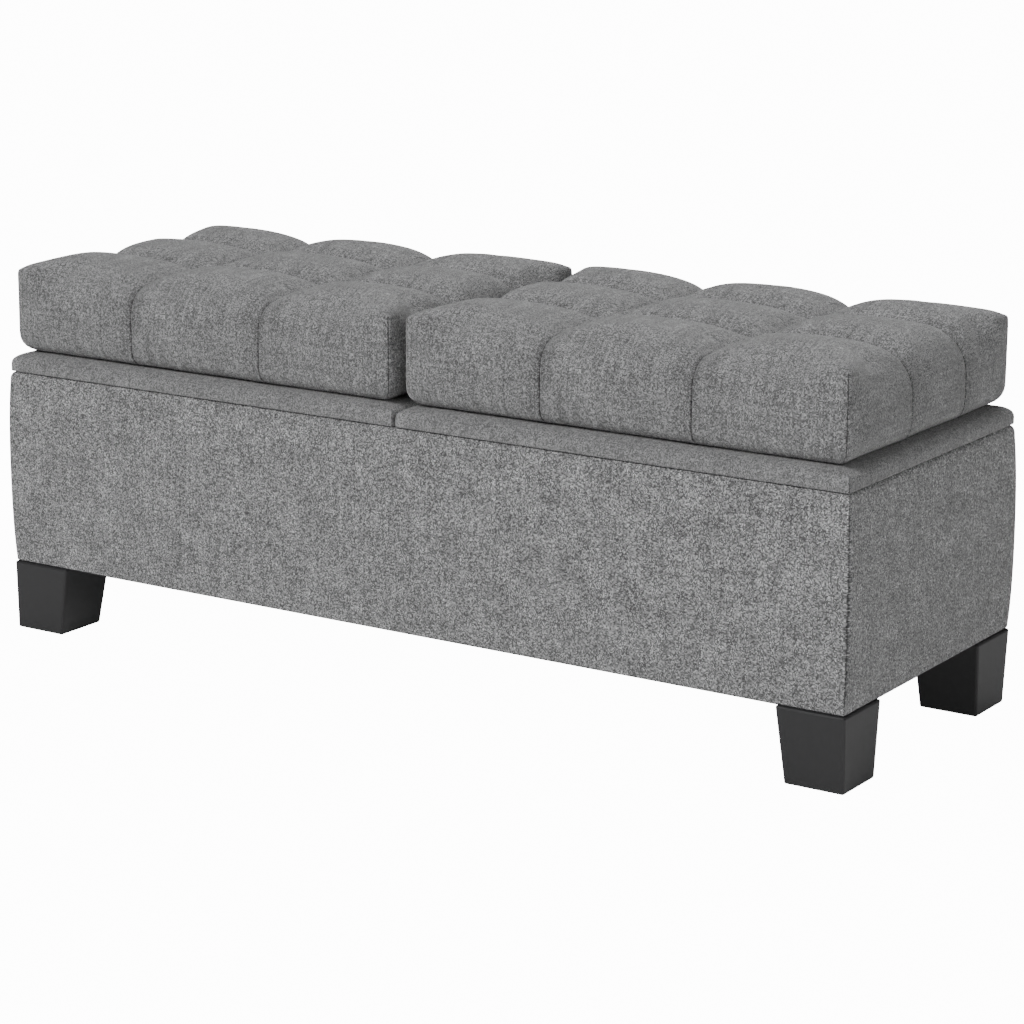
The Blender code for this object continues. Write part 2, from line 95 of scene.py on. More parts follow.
back = direction(CAMERA_TURN, CAMERA_RISE)
bpy.ops.object.camera_add(location=CAMERA_TARGET + back * CAMERA_REACH)
camera = bpy.context.object
camera.name = "camera"
camera.data.lens = LENS
camera.data.sensor_width = SENSOR
look_along(camera, -back)
bpy.context.scene.camera = camera
print("camera at", [round(v, 3) for v in camera.location])

# %% [markdown]
# ## Light and floor
# A photographer would stand the bench in a white sweep under big soft boxes. One large lamp
# from the upper left front is the key, a weaker one fills the right end, and a pale sky and a
# bright floor light the rest. Lamps are hidden from the camera, so only their light is seen.
# The sky is brighter for the camera than for the bench, which keeps the backdrop plain.

# %% Light and floor
SKY_LIGHT = 1.0              # the sky's strength as light on the bench
SKY_SEEN = 14.0              # and its strength as the camera sees it
FLOOR_RADIUS = 60.0
FLOOR_LEVEL = -0.0002        # just under the feet


def add_lamp(name, turn, rise, reach, size, power, aside=0.0):
    """Add a square soft box at a turn and rise in degrees, moved aside along the bench."""
    out = direction(math.radians(turn), math.radians(rise))
    aim = CAMERA_TARGET + Vector((aside, 0, 0))
    bpy.ops.object.light_add(type="AREA", location=aim + out * reach)
    lamp = bpy.context.object
    lamp.name = name
    lamp.data.size = size
    lamp.data.energy = power
    lamp.visible_camera = False
    look_along(lamp, -out)
    return lamp


add_lamp("key_lamp", turn=-16, rise=44, reach=9.0, size=3.2, power=590)
add_lamp("fill_lamp", turn=44, rise=26, reach=3.0, size=2.2, power=26, aside=1.2)
add_lamp("top_lamp", turn=180, rise=75, reach=3.0, size=2.2, power=48)

world = bpy.data.worlds.new("studio")
bpy.context.scene.world = world
world.use_nodes = True
sky = world.node_tree
sky_light = sky.nodes["Background"]
sky_light.inputs["Strength"].default_value = SKY_LIGHT
sky_seen = sky.nodes.new("ShaderNodeBackground")
sky_seen.inputs["Strength"].default_value = SKY_SEEN
sky_ray = sky.nodes.new("ShaderNodeLightPath")
sky_mix = sky.nodes.new("ShaderNodeMixShader")
sky.links.new(sky_ray.outputs["Is Camera Ray"], sky_mix.inputs["Fac"])
sky.links.new(sky_light.outputs["Background"], sky_mix.inputs[1])
sky.links.new(sky_seen.outputs["Background"], sky_mix.inputs[2])
sky.links.new(sky_mix.outputs["Shader"], sky.nodes["World Output"].inputs["Surface"])

bpy.ops.mesh.primitive_circle_add(
    radius=FLOOR_RADIUS, vertices=96, fill_type="NGON", location=(0, 0, FLOOR_LEVEL))
floor = bpy.context.object
floor.name = "studio_floor"
print("lamps and floor ready")

# %% [markdown]
# ## Helpers for modelling
# The frame's pieces start out selected, and an operator acts on everything selected. So each
# step first selects one object alone. Inside edit mode, edges and faces are then picked by a
# test on their place or normal, which is how a script points at them.

# %% Starting and editing a piece


def only(piece):
    """Select one object and make it the active one."""
    bpy.ops.object.select_all(action="DESELECT")
    piece.select_set(True)
    bpy.context.view_layer.objects.active = piece


def start(name, low, high):
    """A cube primitive between two corners, with its size and place in its mesh."""
    bpy.ops.object.select_all(action="DESELECT")
    middle = [(a + b) / 2 for a, b in zip(low, high)]
    size = [b - a for a, b in zip(low, high)]
    bpy.ops.mesh.primitive_cube_add(size=1, location=middle, scale=size)
    bpy.ops.object.transform_apply(location=True, rotation=True, scale=True)
    piece = bpy.context.object
    piece.name = name
    return piece


def edit(piece):
    """Go into edit mode on one object, with nothing of it selected."""
    only(piece)
    bpy.ops.object.mode_set(mode="EDIT")
    bpy.ops.mesh.select_all(action="DESELECT")


def done():
    """Leave edit mode."""
    bpy.ops.object.mode_set(mode="OBJECT")


# %% Picking and slicing in edit mode


def pick_faces(piece, test):
    """In edit mode, select only the faces whose centre and normal pass a test."""
    bpy.ops.mesh.select_mode(type="FACE")
    bpy.ops.mesh.select_all(action="DESELECT")
    mesh = bmesh.from_edit_mesh(piece.data)
    for face in mesh.faces:
        face.select_set(bool(test(face.calc_center_median(), face.normal)))
    bmesh.update_edit_mesh(piece.data)


def pick_edges(piece, test):
    """In edit mode, select only the edges whose two ends pass a test."""
    bpy.ops.mesh.select_mode(type="EDGE")
    bpy.ops.mesh.select_all(action="DESELECT")
    mesh = bmesh.from_edit_mesh(piece.data)
    for edge in mesh.edges:
        edge.select_set(bool(test(edge.verts[0].co, edge.verts[1].co)))
    bmesh.update_edit_mesh(piece.data)


def slice_at(axis, places):
    """In edit mode, cut the whole mesh square to an axis at each place along it."""
    for place in places:
        bpy.ops.mesh.select_all(action="SELECT")
        point = [0.0, 0.0, 0.0]
        normal = [0.0, 0.0, 0.0]
        point[axis] = place
        normal[axis] = 1.0
        bpy.ops.mesh.bisect(plane_co=point, plane_no=normal)


def divide_between(places, step):
    """Places that divide each stretch between neighbours into even steps near a given size."""
    found = []
    for a, b in zip(places, places[1:]):
        count = max(1, round((b - a) / step))
        found += [a + (b - a) * i / count for i in range(1, count)]
        found.append(b)
    return found[:-1]


# %% [markdown]
# ### Moving points and finishing a mesh
# Some shapes are easiest to state as a rule for every point: a fold, a bulge, a shift. These
# helpers read the points out as an array, put them back, and copy or finish a piece. A copy
# moves its own mesh and not its object, so that every object stays at the origin.

# %% Points, copies and shading


def points_of(piece):
    """The mesh's points as rows of numbers."""
    points = np.empty(len(piece.data.vertices) * 3, np.float32)
    piece.data.vertices.foreach_get("co", points)
    return points.reshape(-1, 3).astype(float)


def place_points(piece, points):
    """Put the mesh's points back after they were moved."""
    piece.data.vertices.foreach_set("co", points.astype(np.float32).ravel())
    piece.data.update()


def apply_all(piece):
    """Apply every modifier of a piece, from the top."""
    only(piece)
    for name in [m.name for m in piece.modifiers]:
        bpy.ops.object.modifier_apply(modifier=name)


def copy_of(piece, name, shift=(0, 0, 0)):
    """A copy with its own mesh, moved within that mesh."""
    twin = piece.copy()
    twin.data = piece.data.copy()
    twin.name = name
    bpy.context.scene.collection.objects.link(twin)
    place_points(twin, points_of(twin) + np.array(shift))
    return twin


def smooth(piece, degrees=40):
    """Shade smooth, but keep edges sharper than an angle."""
    only(piece)
    bpy.ops.object.shade_smooth_by_angle(angle=math.radians(degrees))


def map_cloth(piece, rule):
    """Give the cloth a map in metres: rule turns a point and a face normal into (across, along)."""
    layer = piece.data.uv_layers.active or piece.data.uv_layers.new(name="cloth")
    for face in piece.data.polygons:
        for loop in face.loop_indices:
            point = piece.data.vertices[piece.data.loops[loop].vertex_index].co
            layer.data[loop].uv = rule(point, face.normal)


print("modelling helpers ready")

# %% [markdown]
# ## Node groups for the finishes
# A finish is built from a few effects that several materials share: woven threads, soft
# blotches, fine grain and worn edges. Each effect is a node group with named inputs, so one
# change mends every material. The groups give only colour factors and heights; the shader
# itself stays in each material.

# %% A small kit for building node groups


def new_group(name, inputs, outputs):
    """A shader group with float or vector sockets."""
    group = bpy.data.node_groups.new(name, "ShaderNodeTree")
    for label, value in inputs:
        kind = "NodeSocketVector" if value is None else "NodeSocketFloat"
        socket = group.interface.new_socket(label, in_out="INPUT", socket_type=kind)
        if value is not None:
            socket.default_value = value
    for label in outputs:
        group.interface.new_socket(label, in_out="OUTPUT", socket_type="NodeSocketFloat")
    return group, group.nodes.new("NodeGroupInput"), group.nodes.new("NodeGroupOutput")


def plug(tree, node, index, value):
    """Link a socket to a node's input, or set the input to a number."""
    if isinstance(value, bpy.types.NodeSocket):
        tree.links.new(value, node.inputs[index])
    else:
        node.inputs[index].default_value = value


def calc(tree, operation, *values):
    """A Math node on numbers or sockets."""
    node = tree.nodes.new("ShaderNodeMath")
    node.operation = operation
    for index, value in enumerate(values):
        plug(tree, node, index, value)
    return node.outputs[0]


def join_xyz(tree, x, y, z=0.0):
    """Three numbers or sockets as one vector."""
    node = tree.nodes.new("ShaderNodeCombineXYZ")
    for index, value in enumerate((x, y, z)):
        plug(tree, node, index, value)
    return node.outputs[0]


def split_xyz(tree, vector):
    """The three numbers of a vector."""
    node = tree.nodes.new("ShaderNodeSeparateXYZ")
    tree.links.new(vector, node.inputs[0])
    return node.outputs


def cloud(tree, vector, scale, detail=2.0, rough=0.5):
    """Noise centred on zero, from about -1 to 1."""
    node = tree.nodes.new("ShaderNodeTexNoise")
    node.inputs["Scale"].default_value = scale
    node.inputs["Detail"].default_value = detail
    node.inputs["Roughness"].default_value = rough
    tree.links.new(vector, node.inputs["Vector"])
    return calc(tree, "MULTIPLY_ADD", node.outputs["Fac"], 2.0, -1.0)


print("node kit ready")

# %% [markdown]
# ### Woven threads
# Heathered upholstery is a plain weave of yarns whose colour changes along their length. The
# group works it out as the loom does. Each crossing shows either the warp or the weft, like
# the fields of a chessboard, and takes the colour that this yarn has there. Broad blotches
# and long faint streaks come on top, because the yarns' dye and thickness drift slowly. All
# of these are added as stops of light, and 2 to their power is the shade, as the eye sees it.

# %% The woven thread group
YARN_RUN = 0.50           # how quickly a yarn's colour changes, per crossing
YARN_SHARE = 1.1         # how much of a fleck follows its yarn
SPECKLE = 0.95            # and how much belongs to that one crossing
WARP_APART = 13.7         # steps that keep neighbouring yarns' colours unlike each other
WEFT_APART = 17.3
DRIFT_SIZE = 160.0        # small shifts that stop the rows from being perfectly straight
DRIFT = 0.0005
BLOTCH_SIZE = 30.0
STREAK_ACROSS = 300.0
STREAK_ALONG = 12.0
LEVEL_STREAK = 0.5        # strength of the level streaks beside the upright ones
THREAD_LIFT = 0.3         # how much higher a pale crossing stands


def make_thread_group():
    """Inputs: Vector in metres, Pitch, Fleck, Blotch, Streak. Outputs: Shade around 1, Height."""
    tree, given, out = new_group(
        "woven_threads",
        [("Vector", None), ("Pitch", 0.0012), ("Fleck", 0.8), ("Blotch", 0.1), ("Streak", 0.1)],
        ["Shade", "Height"])
    u, v, _ = split_xyz(tree, given.outputs["Vector"])
    flat = join_xyz(tree, u, v)
    shift = calc(tree, "MULTIPLY", cloud(tree, flat, DRIFT_SIZE, 1.0), DRIFT)
    across = calc(tree, "DIVIDE", calc(tree, "ADD", u, shift), given.outputs["Pitch"])
    along = calc(tree, "DIVIDE", calc(tree, "SUBTRACT", v, shift), given.outputs["Pitch"])
    column = calc(tree, "FLOOR", across)
    row = calc(tree, "FLOOR", along)
    board = calc(tree, "FLOORED_MODULO", calc(tree, "ADD", column, row), 2.0)

    warp = cloud(tree, join_xyz(tree, calc(tree, "MULTIPLY", column, WARP_APART),
                                calc(tree, "MULTIPLY", along, YARN_RUN)), 1.0, 1.0)
    weft = cloud(tree, join_xyz(tree, calc(tree, "MULTIPLY", across, YARN_RUN),
                                calc(tree, "MULTIPLY", row, WEFT_APART), 40.0), 1.0, 1.0)
    yarn = calc(tree, "ADD", calc(tree, "MULTIPLY", board, weft),
                calc(tree, "MULTIPLY", calc(tree, "SUBTRACT", 1.0, board), warp))
    speck = tree.nodes.new("ShaderNodeTexWhiteNoise")
    speck.noise_dimensions = "2D"
    tree.links.new(join_xyz(tree, column, row), speck.inputs["Vector"])
    speckle = calc(tree, "MULTIPLY_ADD", speck.outputs["Value"], 2 * SPECKLE, -SPECKLE)
    fleck = calc(tree, "MULTIPLY", calc(tree, "MULTIPLY_ADD", yarn, YARN_SHARE, speckle),
                 given.outputs["Fleck"])

    blotch = calc(tree, "MULTIPLY", cloud(tree, flat, BLOTCH_SIZE, 3.0, 0.6),
                  given.outputs["Blotch"])
    upright = cloud(tree, join_xyz(tree, calc(tree, "MULTIPLY", u, STREAK_ACROSS),
                                   calc(tree, "MULTIPLY", v, STREAK_ALONG)), 1.0, 2.0)
    level = cloud(tree, join_xyz(tree, calc(tree, "MULTIPLY", u, STREAK_ALONG),
                                 calc(tree, "MULTIPLY", v, STREAK_ACROSS), 20.0), 1.0, 2.0)
    streak = calc(tree, "MULTIPLY", calc(tree, "MULTIPLY_ADD", level, LEVEL_STREAK, upright),
                  given.outputs["Streak"])
    stops = calc(tree, "ADD", fleck, calc(tree, "ADD", blotch, streak))
    tree.links.new(calc(tree, "POWER", 2.0, stops), out.inputs["Shade"])

    round_column = calc(tree, "SINE", calc(tree, "MULTIPLY", calc(tree, "FRACT", across), math.pi))
    round_row = calc(tree, "SINE", calc(tree, "MULTIPLY", calc(tree, "FRACT", along), math.pi))
    over = calc(tree, "MULTIPLY", round_column, round_row)
    tree.links.new(calc(tree, "MULTIPLY_ADD", speckle, THREAD_LIFT, over), out.inputs["Height"])
    return tree


threads = make_thread_group()
print("group", threads.name, "nodes", len(threads.nodes))

# %% [markdown]
# ### Grain, wear and felt
# Painted wood shows faint long grain under the paint and a little wear where hands and shoes
# rub. Zinc plate is cloudy. Felted lining cloth has loose fibres and pressed dots. Each is a
# short group again.

# %% The long grain group
GRAIN_SQUEEZE = 0.09      # the grain is drawn out along Z by squeezing that axis


def make_grain_group():
    """Long wood grain along Z: Vector in metres, Scale, Depth. Outputs: Shade around 1, Height."""
    tree, given, out = new_group("long_grain", [("Vector", None), ("Scale", 90.0), ("Depth", 0.3)],
                                 ["Shade", "Height"])
    x, y, z = split_xyz(tree, given.outputs["Vector"])
    drawn = join_xyz(tree, x, y, calc(tree, "MULTIPLY", z, GRAIN_SQUEEZE))
    node = tree.nodes.new("ShaderNodeTexNoise")
    tree.links.new(drawn, node.inputs["Vector"])
    tree.links.new(given.outputs["Scale"], node.inputs["Scale"])
    node.inputs["Detail"].default_value = 5.0
    grain = calc(tree, "MULTIPLY_ADD", node.outputs["Fac"], 2.0, -1.0)
    tree.links.new(calc(tree, "MULTIPLY_ADD", grain, given.outputs["Depth"], 1.0), out.inputs["Shade"])
    tree.links.new(grain, out.inputs["Height"])
    return tree


# %% The rubbed edges group
EDGE_LEVEL = 0.52         # pointiness above this counts as an outer edge
EDGE_GAIN = 9.0
SCUFF_SIZE = 60.0
SCUFF_GAIN = 0.9
SCUFF_FLOOR = -0.25       # keeps scuffs to a few spots


def make_wear_group():
    """Rubbed edges and scuffs: Vector in metres, Amount. Output: Mask from 0 to 1."""
    tree, given, out = new_group("rubbed_edges", [("Vector", None), ("Amount", 0.5)], ["Mask"])
    shape = tree.nodes.new("ShaderNodeNewGeometry")
    edge = calc(tree, "SUBTRACT", shape.outputs["Pointiness"], EDGE_LEVEL)
    edge = calc(tree, "MULTIPLY", edge, EDGE_GAIN)
    scuff = cloud(tree, given.outputs["Vector"], SCUFF_SIZE, 4.0, 0.7)
    scuff = calc(tree, "MULTIPLY_ADD", scuff, SCUFF_GAIN, SCUFF_FLOOR)
    both = calc(tree, "ADD", calc(tree, "MAXIMUM", edge, 0.0), calc(tree, "MAXIMUM", scuff, 0.0))
    mask = tree.nodes.new("ShaderNodeClamp")
    tree.links.new(calc(tree, "MULTIPLY", both, given.outputs["Amount"]), mask.inputs["Value"])
    tree.links.new(mask.outputs["Result"], out.inputs["Mask"])
    return tree


# %% The pressed felt group
FELT_PITCH = 0.0035       # distance between the pressed dots
DOT_LEVEL = 0.55          # higher is smaller dots
DOT_DARK = 0.22
FIBRE_SIZE = 900.0
FIBRE_DEPTH = 0.35
CLOUD_SIZE = 45.0
CLOUD_DEPTH = 0.12


def make_felt_group():
    """Pressed non-woven cloth: Vector in metres, Pitch of its dots. Outputs: Shade, Height."""
    tree, given, out = new_group("pressed_felt", [("Vector", None), ("Pitch", FELT_PITCH)],
                                 ["Shade", "Height"])
    u, v, w = split_xyz(tree, given.outputs["Vector"])
    sum_uw = calc(tree, "ADD", u, w)
    sum_vw = calc(tree, "ADD", v, w)
    turn = calc(tree, "DIVIDE", math.tau, given.outputs["Pitch"])
    wave = calc(tree, "MULTIPLY", calc(tree, "SINE", calc(tree, "MULTIPLY", sum_uw, turn)),
                calc(tree, "SINE", calc(tree, "MULTIPLY", sum_vw, turn)))
    dot = calc(tree, "GREATER_THAN", wave, DOT_LEVEL)
    fibre = cloud(tree, given.outputs["Vector"], FIBRE_SIZE, 4.0, 0.7)
    cloudy = cloud(tree, given.outputs["Vector"], CLOUD_SIZE, 3.0)
    cloudy = calc(tree, "MULTIPLY", cloudy, CLOUD_DEPTH)
    shade = calc(tree, "ADD", calc(tree, "MULTIPLY_ADD", fibre, FIBRE_DEPTH, 1.0),
                 calc(tree, "MULTIPLY_ADD", dot, -DOT_DARK, cloudy))
    tree.links.new(shade, out.inputs["Shade"])
    height = calc(tree, "MULTIPLY_ADD", dot, -1.0, calc(tree, "MULTIPLY", fibre, FIBRE_DEPTH))
    tree.links.new(height, out.inputs["Height"])
    return tree


long_grain = make_grain_group()
rubbed_edges = make_wear_group()
pressed_felt = make_felt_group()
print("groups ready", len(bpy.data.node_groups))

# %% [markdown]
# ## Materials
# Every material starts from one Principled shader. A base grey is multiplied by the shade of
# its group, and the group's height drives a Bump node. Numbers that are the same all over,
# such as sheen, go straight on the shader's own sockets.

# %% A helper that starts a material


def start_material(name, roughness, metallic=0.0, **constants):
    """A material with its tree, its shader and the constant sockets set."""
    material = bpy.data.materials.new(name)
    material.use_nodes = True
    tree = material.node_tree
    shader = tree.nodes["Principled BSDF"]
    shader.inputs["Roughness"].default_value = roughness
    shader.inputs["Metallic"].default_value = metallic
    for label, value in constants.items():
        shader.inputs[label.replace("_", " ")].default_value = value
    return material, tree, shader


def place(tree, group, vector, **values):
    """Put a group in a material, fed by a vector, with its own values."""
    node = tree.nodes.new("ShaderNodeGroup")
    node.node_tree = group
    tree.links.new(vector, node.inputs["Vector"])
    for label, value in values.items():
        node.inputs[label].default_value = value
    return node


def coordinates(tree, kind):
    """Object coordinates, or the piece's own UV map."""
    return tree.nodes.new("ShaderNodeTexCoord").outputs[kind]


def tint(tree, shader, colour, shade):
    """Multiply a colour by a shade and plug it into Base Color."""
    node = tree.nodes.new("ShaderNodeVectorMath")
    node.operation = "SCALE"
    node.inputs[0].default_value = colour
    tree.links.new(shade, node.inputs["Scale"])
    tree.links.new(node.outputs["Vector"], shader.inputs["Base Color"])


def raise_surface(tree, shader, height, distance, strength=1.0):
    """Feed a height into a Bump node and on to the shader's normal."""
    bump = tree.nodes.new("ShaderNodeBump")
    bump.inputs["Distance"].default_value = distance
    bump.inputs["Strength"].default_value = strength
    tree.links.new(height, bump.inputs["Height"])
    tree.links.new(bump.outputs["Normal"], shader.inputs["Normal"])


def soften(tree, shader, shade, low, high):
    """Let the roughness follow a shade around 1."""
    node = tree.nodes.new("ShaderNodeMapRange")
    node.inputs["From Min"].default_value = 0.0
    node.inputs["From Max"].default_value = 2.0
    node.inputs["To Min"].default_value = low
    node.inputs["To Max"].default_value = high
    tree.links.new(shade, node.inputs["Value"])
    tree.links.new(node.outputs["Result"], shader.inputs["Roughness"])


print("material helpers ready")

# %% [markdown]
# ### Three weights of heathered cloth
# The body, the lid bands and the cushions are cut from the same grey family. The body cloth
# has the strongest flecks. The lid bands are the smoothest. The cushions lie between them. All
# three read an attribute of painted shade, set in the depth of a seam and in the valleys beside
# it, and darken there as shade would.

# %% Heathered cloth
SEAM_SHADE_PAINT = 0.7             # painted shade: how much darker the cloth is painted in a seam's depth and its valleys


def make_cloth(name, grey, pitch, fleck, blotch, streak, height):
    """A woven upholstery cloth that follows the piece's own map."""
    material, tree, shader = start_material(
        name, 0.9, Sheen_Weight=0.35, Sheen_Roughness=0.45, Specular_IOR_Level=0.25)
    weave = place(tree, threads, coordinates(tree, "UV"),
                  Pitch=pitch, Fleck=fleck, Blotch=blotch, Streak=streak)
    # painted shade: this attribute darkens the cloth in seams and valleys, where shade falls
    seam = tree.nodes.new("ShaderNodeAttribute")
    seam.attribute_name = "painted_seam_shade"
    seam_shading = calc(tree, "MULTIPLY_ADD", seam.outputs["Fac"], -SEAM_SHADE_PAINT, 1.0)
    shade = calc(tree, "MULTIPLY", weave.outputs["Shade"], seam_shading)
    tint(tree, shader, (grey, grey, grey * 1.01), shade)
    raise_surface(tree, shader, weave.outputs["Height"], height, 0.6)
    soften(tree, shader, weave.outputs["Shade"], 0.96, 0.8)
    return material


CLOTH_GREY = 0.190
body_cloth = make_cloth("body_cloth", CLOTH_GREY * 1.07, pitch=0.0013,
                       fleck=1.40, blotch=0.66, streak=0.58, height=0.0005)
lid_cloth = make_cloth("lid_cloth", CLOTH_GREY, pitch=0.0012,
                      fleck=0.90, blotch=0.36, streak=0.50, height=0.0003)
cushion_cloth = make_cloth("cushion_cloth", CLOTH_GREY * 0.96, pitch=0.0012,
                          fleck=1.10, blotch=0.50, streak=0.75, height=0.0004)

# %% [markdown]
# ### Lining, paint, wood and steel
# The lining is pressed felt, the legs have dark satin paint, the boards are plain plywood and
# the hinges, stays and screws are bright zinc. These follow Object coordinates, because the
# frame's pieces sit at the origin.

# %% Lining felt and leg paint


def make_felt(name, grey):
    """Pressed non-woven lining cloth."""
    material, tree, shader = start_material(name, 0.95, Sheen_Weight=0.1, Specular_IOR_Level=0.2)
    felt = place(tree, pressed_felt, coordinates(tree, "Object"), Pitch=FELT_PITCH)
    tint(tree, shader, (grey, grey, grey * 1.03), felt.outputs["Shade"])
    raise_surface(tree, shader, felt.outputs["Height"], 0.00025, 0.6)
    return material


def make_paint():
    """Dark satin paint over wood, rubbed a little along the edges."""
    material, tree, shader = start_material("leg_paint", 0.45, Coat_Weight=0.12, Coat_Roughness=0.3)
    spot = coordinates(tree, "Object")
    grain = place(tree, long_grain, spot, Scale=420.0, Depth=0.10)
    wear = place(tree, rubbed_edges, spot, Amount=0.35)
    shade = calc(tree, "MULTIPLY_ADD", wear.outputs["Mask"], 0.5, grain.outputs["Shade"])
    tint(tree, shader, (0.015, 0.015, 0.016), shade)
    raise_surface(tree, shader, grain.outputs["Height"], 0.00006, 0.5)
    soften(tree, shader, shade, 0.36, 0.56)
    return material


lining_felt = make_felt("lining_felt", 0.035)
leg_paint = make_paint()
print("felt and paint ready")

# %% Plywood and zinc


def make_board():
    """Plain plywood."""
    material, tree, shader = start_material("board_wood", 0.7, Specular_IOR_Level=0.35)
    grain = place(tree, long_grain, coordinates(tree, "Object"), Scale=260.0, Depth=0.35)
    tint(tree, shader, (0.46, 0.33, 0.20), grain.outputs["Shade"])
    raise_surface(tree, shader, grain.outputs["Height"], 0.0002, 0.5)
    soften(tree, shader, grain.outputs["Shade"], 0.6, 0.8)
    return material


def make_zinc():
    """Zinc-plated steel, cloudy and finely brushed."""
    material, tree, shader = start_material("zinc_steel", 0.32, 1.0)
    spot = coordinates(tree, "Object")
    brushed = place(tree, long_grain, spot, Scale=1500.0, Depth=0.10)
    cloudy = cloud(tree, spot, 120.0, 3.0)
    cloudy = calc(tree, "MULTIPLY_ADD", cloudy, 0.12, brushed.outputs["Shade"])
    tint(tree, shader, (0.60, 0.61, 0.62), cloudy)
    raise_surface(tree, shader, brushed.outputs["Height"], 0.00003, 0.4)
    soften(tree, shader, cloudy, 0.22, 0.42)
    return material


board_wood = make_board()
zinc_steel = make_zinc()
print("plywood and zinc ready")

# %% [markdown]
# ### The studio floor
# The floor has to look like the bright backdrop and still light the bench only a little, so a
# Light Path node tells the camera's rays from the others. Seen from below it is clear, which
# keeps the bench's underside in view.

# %% The floor's finish
FLOOR_GLOW = 0.97            # how much of the seen sky the floor shows to the camera
FLOOR_LIFT = 0.012           # and how much of it the floor gives to the bench as light


def make_floor():
    """The studio floor: pale and matt, lit up like the sweep for the camera, and clear from below."""
    material, tree, shader = start_material("studio_floor", 0.9, Specular_IOR_Level=0.1)
    mist = calc(tree, "MULTIPLY_ADD", cloud(tree, coordinates(tree, "Object"), 2.0), 0.02, 1.0)
    tint(tree, shader, (0.8, 0.8, 0.8), mist)
    glow = tree.nodes.new("ShaderNodeEmission")
    glow.inputs["Strength"].default_value = SKY_SEEN
    ray = tree.nodes.new("ShaderNodeLightPath")
    seen = calc(tree, "MULTIPLY_ADD", ray.outputs["Is Camera Ray"],
                FLOOR_GLOW - FLOOR_LIFT, FLOOR_LIFT)
    mix = tree.nodes.new("ShaderNodeMixShader")
    tree.links.new(seen, mix.inputs["Fac"])
    tree.links.new(shader.outputs["BSDF"], mix.inputs[1])
    tree.links.new(glow.outputs["Emission"], mix.inputs[2])
    clear = tree.nodes.new("ShaderNodeBsdfTransparent")
    facing = tree.nodes.new("ShaderNodeNewGeometry")
    below = tree.nodes.new("ShaderNodeMixShader")
    tree.links.new(facing.outputs["Backfacing"], below.inputs["Fac"])
    tree.links.new(mix.outputs["Shader"], below.inputs[1])
    tree.links.new(clear.outputs["BSDF"], below.inputs[2])
    tree.links.new(below.outputs["Shader"], tree.nodes["Material Output"].inputs["Surface"])
    return material


floor.data.materials.append(make_floor())
print("floor ready")

# %% [markdown]
# ### Finish the frame's own pieces
# The frame's nodes came with plain materials, one for each slot name. Each is exchanged for
# the finish made above, and the meshes stay as they are.

# %% Put the finishes on the frame
finishes = {"board_wood": board_wood, "leg_paint": leg_paint, "zinc_steel": zinc_steel,
            "lining_cloth": lining_felt, "foam": board_wood}
for node in frame["nodes"].values():
    for holder in node.material_slots:
        label = holder.material.name.split(".")[0] if holder.material else ""
        if label in finishes:
            holder.material = finishes[label]
print("materials", len(bpy.data.materials))

# %% [markdown]
# ## The tufted cushions
# A seat cushion is a foam block in a sewn case, pulled down along its seams into three by
# three squares. Its cover is one cloth that runs over the edge from the top to the sides, and
# only the four upright corners are sewn, so they stay sharp while the edges between them are
# round. The block starts as a cube that is sliced on its seam lines. It is folded over its
# edges, and each square gets its crown by a formula, because a stuffed square has a regular
# shape. Then a short cloth simulation settles the cover, with the seams held still.

# %% Cushion sizes, from the frame
SEAM_COLUMNS = (0.18025, 0.37025)   # from the cushion's left side
SEAM_ROWS = (-0.048, 0.081)         # front to back, on the bench
CLOTH_STEP = 0.0066                 # size of the cloth's squares
EDGE_IN = 0.034                     # how far the rounding of a top edge reaches, along a seam
CORNER_FADE = 0.075                 # the rounding fades out towards each corner over this length
CORNER_IN = 0.004                   # what is left of it at a corner
CROWN = 0.0125                      # how far the middle of a square stands above its seams
CROWN_POWER = 3.0                   # higher is flatter on top and steeper at the seams
CROWN_TOP = 0.58                    # where an outer square is highest, from its seam to the edge
CROWN_EDGE = 0.60                   # the share of the crown that is left at the cushion's edge
PULL = 0.0065                       # how far the stitches pull the cloth down beside a seam
PULL_REACH = 0.011                  # and over what distance that fades
END_DROP = 0.94                     # the rounding's depth as a share of its reach, front and back
SIDE_DROP = 1.25                    # and at the two sides
FOOT_ROUND = 0.018                  # radius of the rounded foot
FOOT_FADE = 0.06                    # the foot's curl ends this far in from the sides
SEAM_LEVEL = 0.4465                 # height of the seams on top

cushion_low, cushion_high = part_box("right_cushion_cover")
print("cushion", [round(v, 4) for v in (*cushion_low, *cushion_high)])

# %% The sliced block and its map
UNDER_APART = 2.0                   # the underside's place on the map, away from the top


def make_block():
    """A closed block of small squares, with edges exactly on its seam lines."""
    high = (cushion_high.x, cushion_high.y, SEAM_LEVEL)
    block = start("right_cushion", cushion_low, high)
    seams = [cushion_low.x + column for column in SEAM_COLUMNS]
    edit(block)
    slice_at(0, divide_between([cushion_low.x, *seams, cushion_high.x], CLOTH_STEP))
    slice_at(1, divide_between([cushion_low.y, *SEAM_ROWS, cushion_high.y], CLOTH_STEP))
    slice_at(2, divide_between([cushion_low.z, SEAM_LEVEL], CLOTH_STEP))
    done()
    return block


def cushion_map(point, normal):
    """Unfold the cushion's sides outwards from its top."""
    drop = SEAM_LEVEL - point.z
    across = point.x + drop * normal.x
    along = point.y + drop * normal.y
    return across + (UNDER_APART if normal.z < -0.5 else 0.0), along


cushion = make_block()
map_cloth(cushion, cushion_map)
print("cushion block", len(cushion.data.vertices), "points")

# %% [markdown]
# ### Fold the block over its edges
# Each top edge is rounded by an ellipse. A point near an edge is measured in from the end, in
# from the side and down from the top, as shares of the ellipse's reach. Where more than one
# share is above zero, they are shortened to lie on the ellipse. The reach shrinks towards the
# corners, which stay pointed. The foot of the sides then curls under with a plain quarter
# circle, because the foam's lower edge is pressed round against the lid. The crowns are highest
# in the middle of each square, and beside a seam the stitches pull the cloth down sharply.

# %% Where a point lies on the block


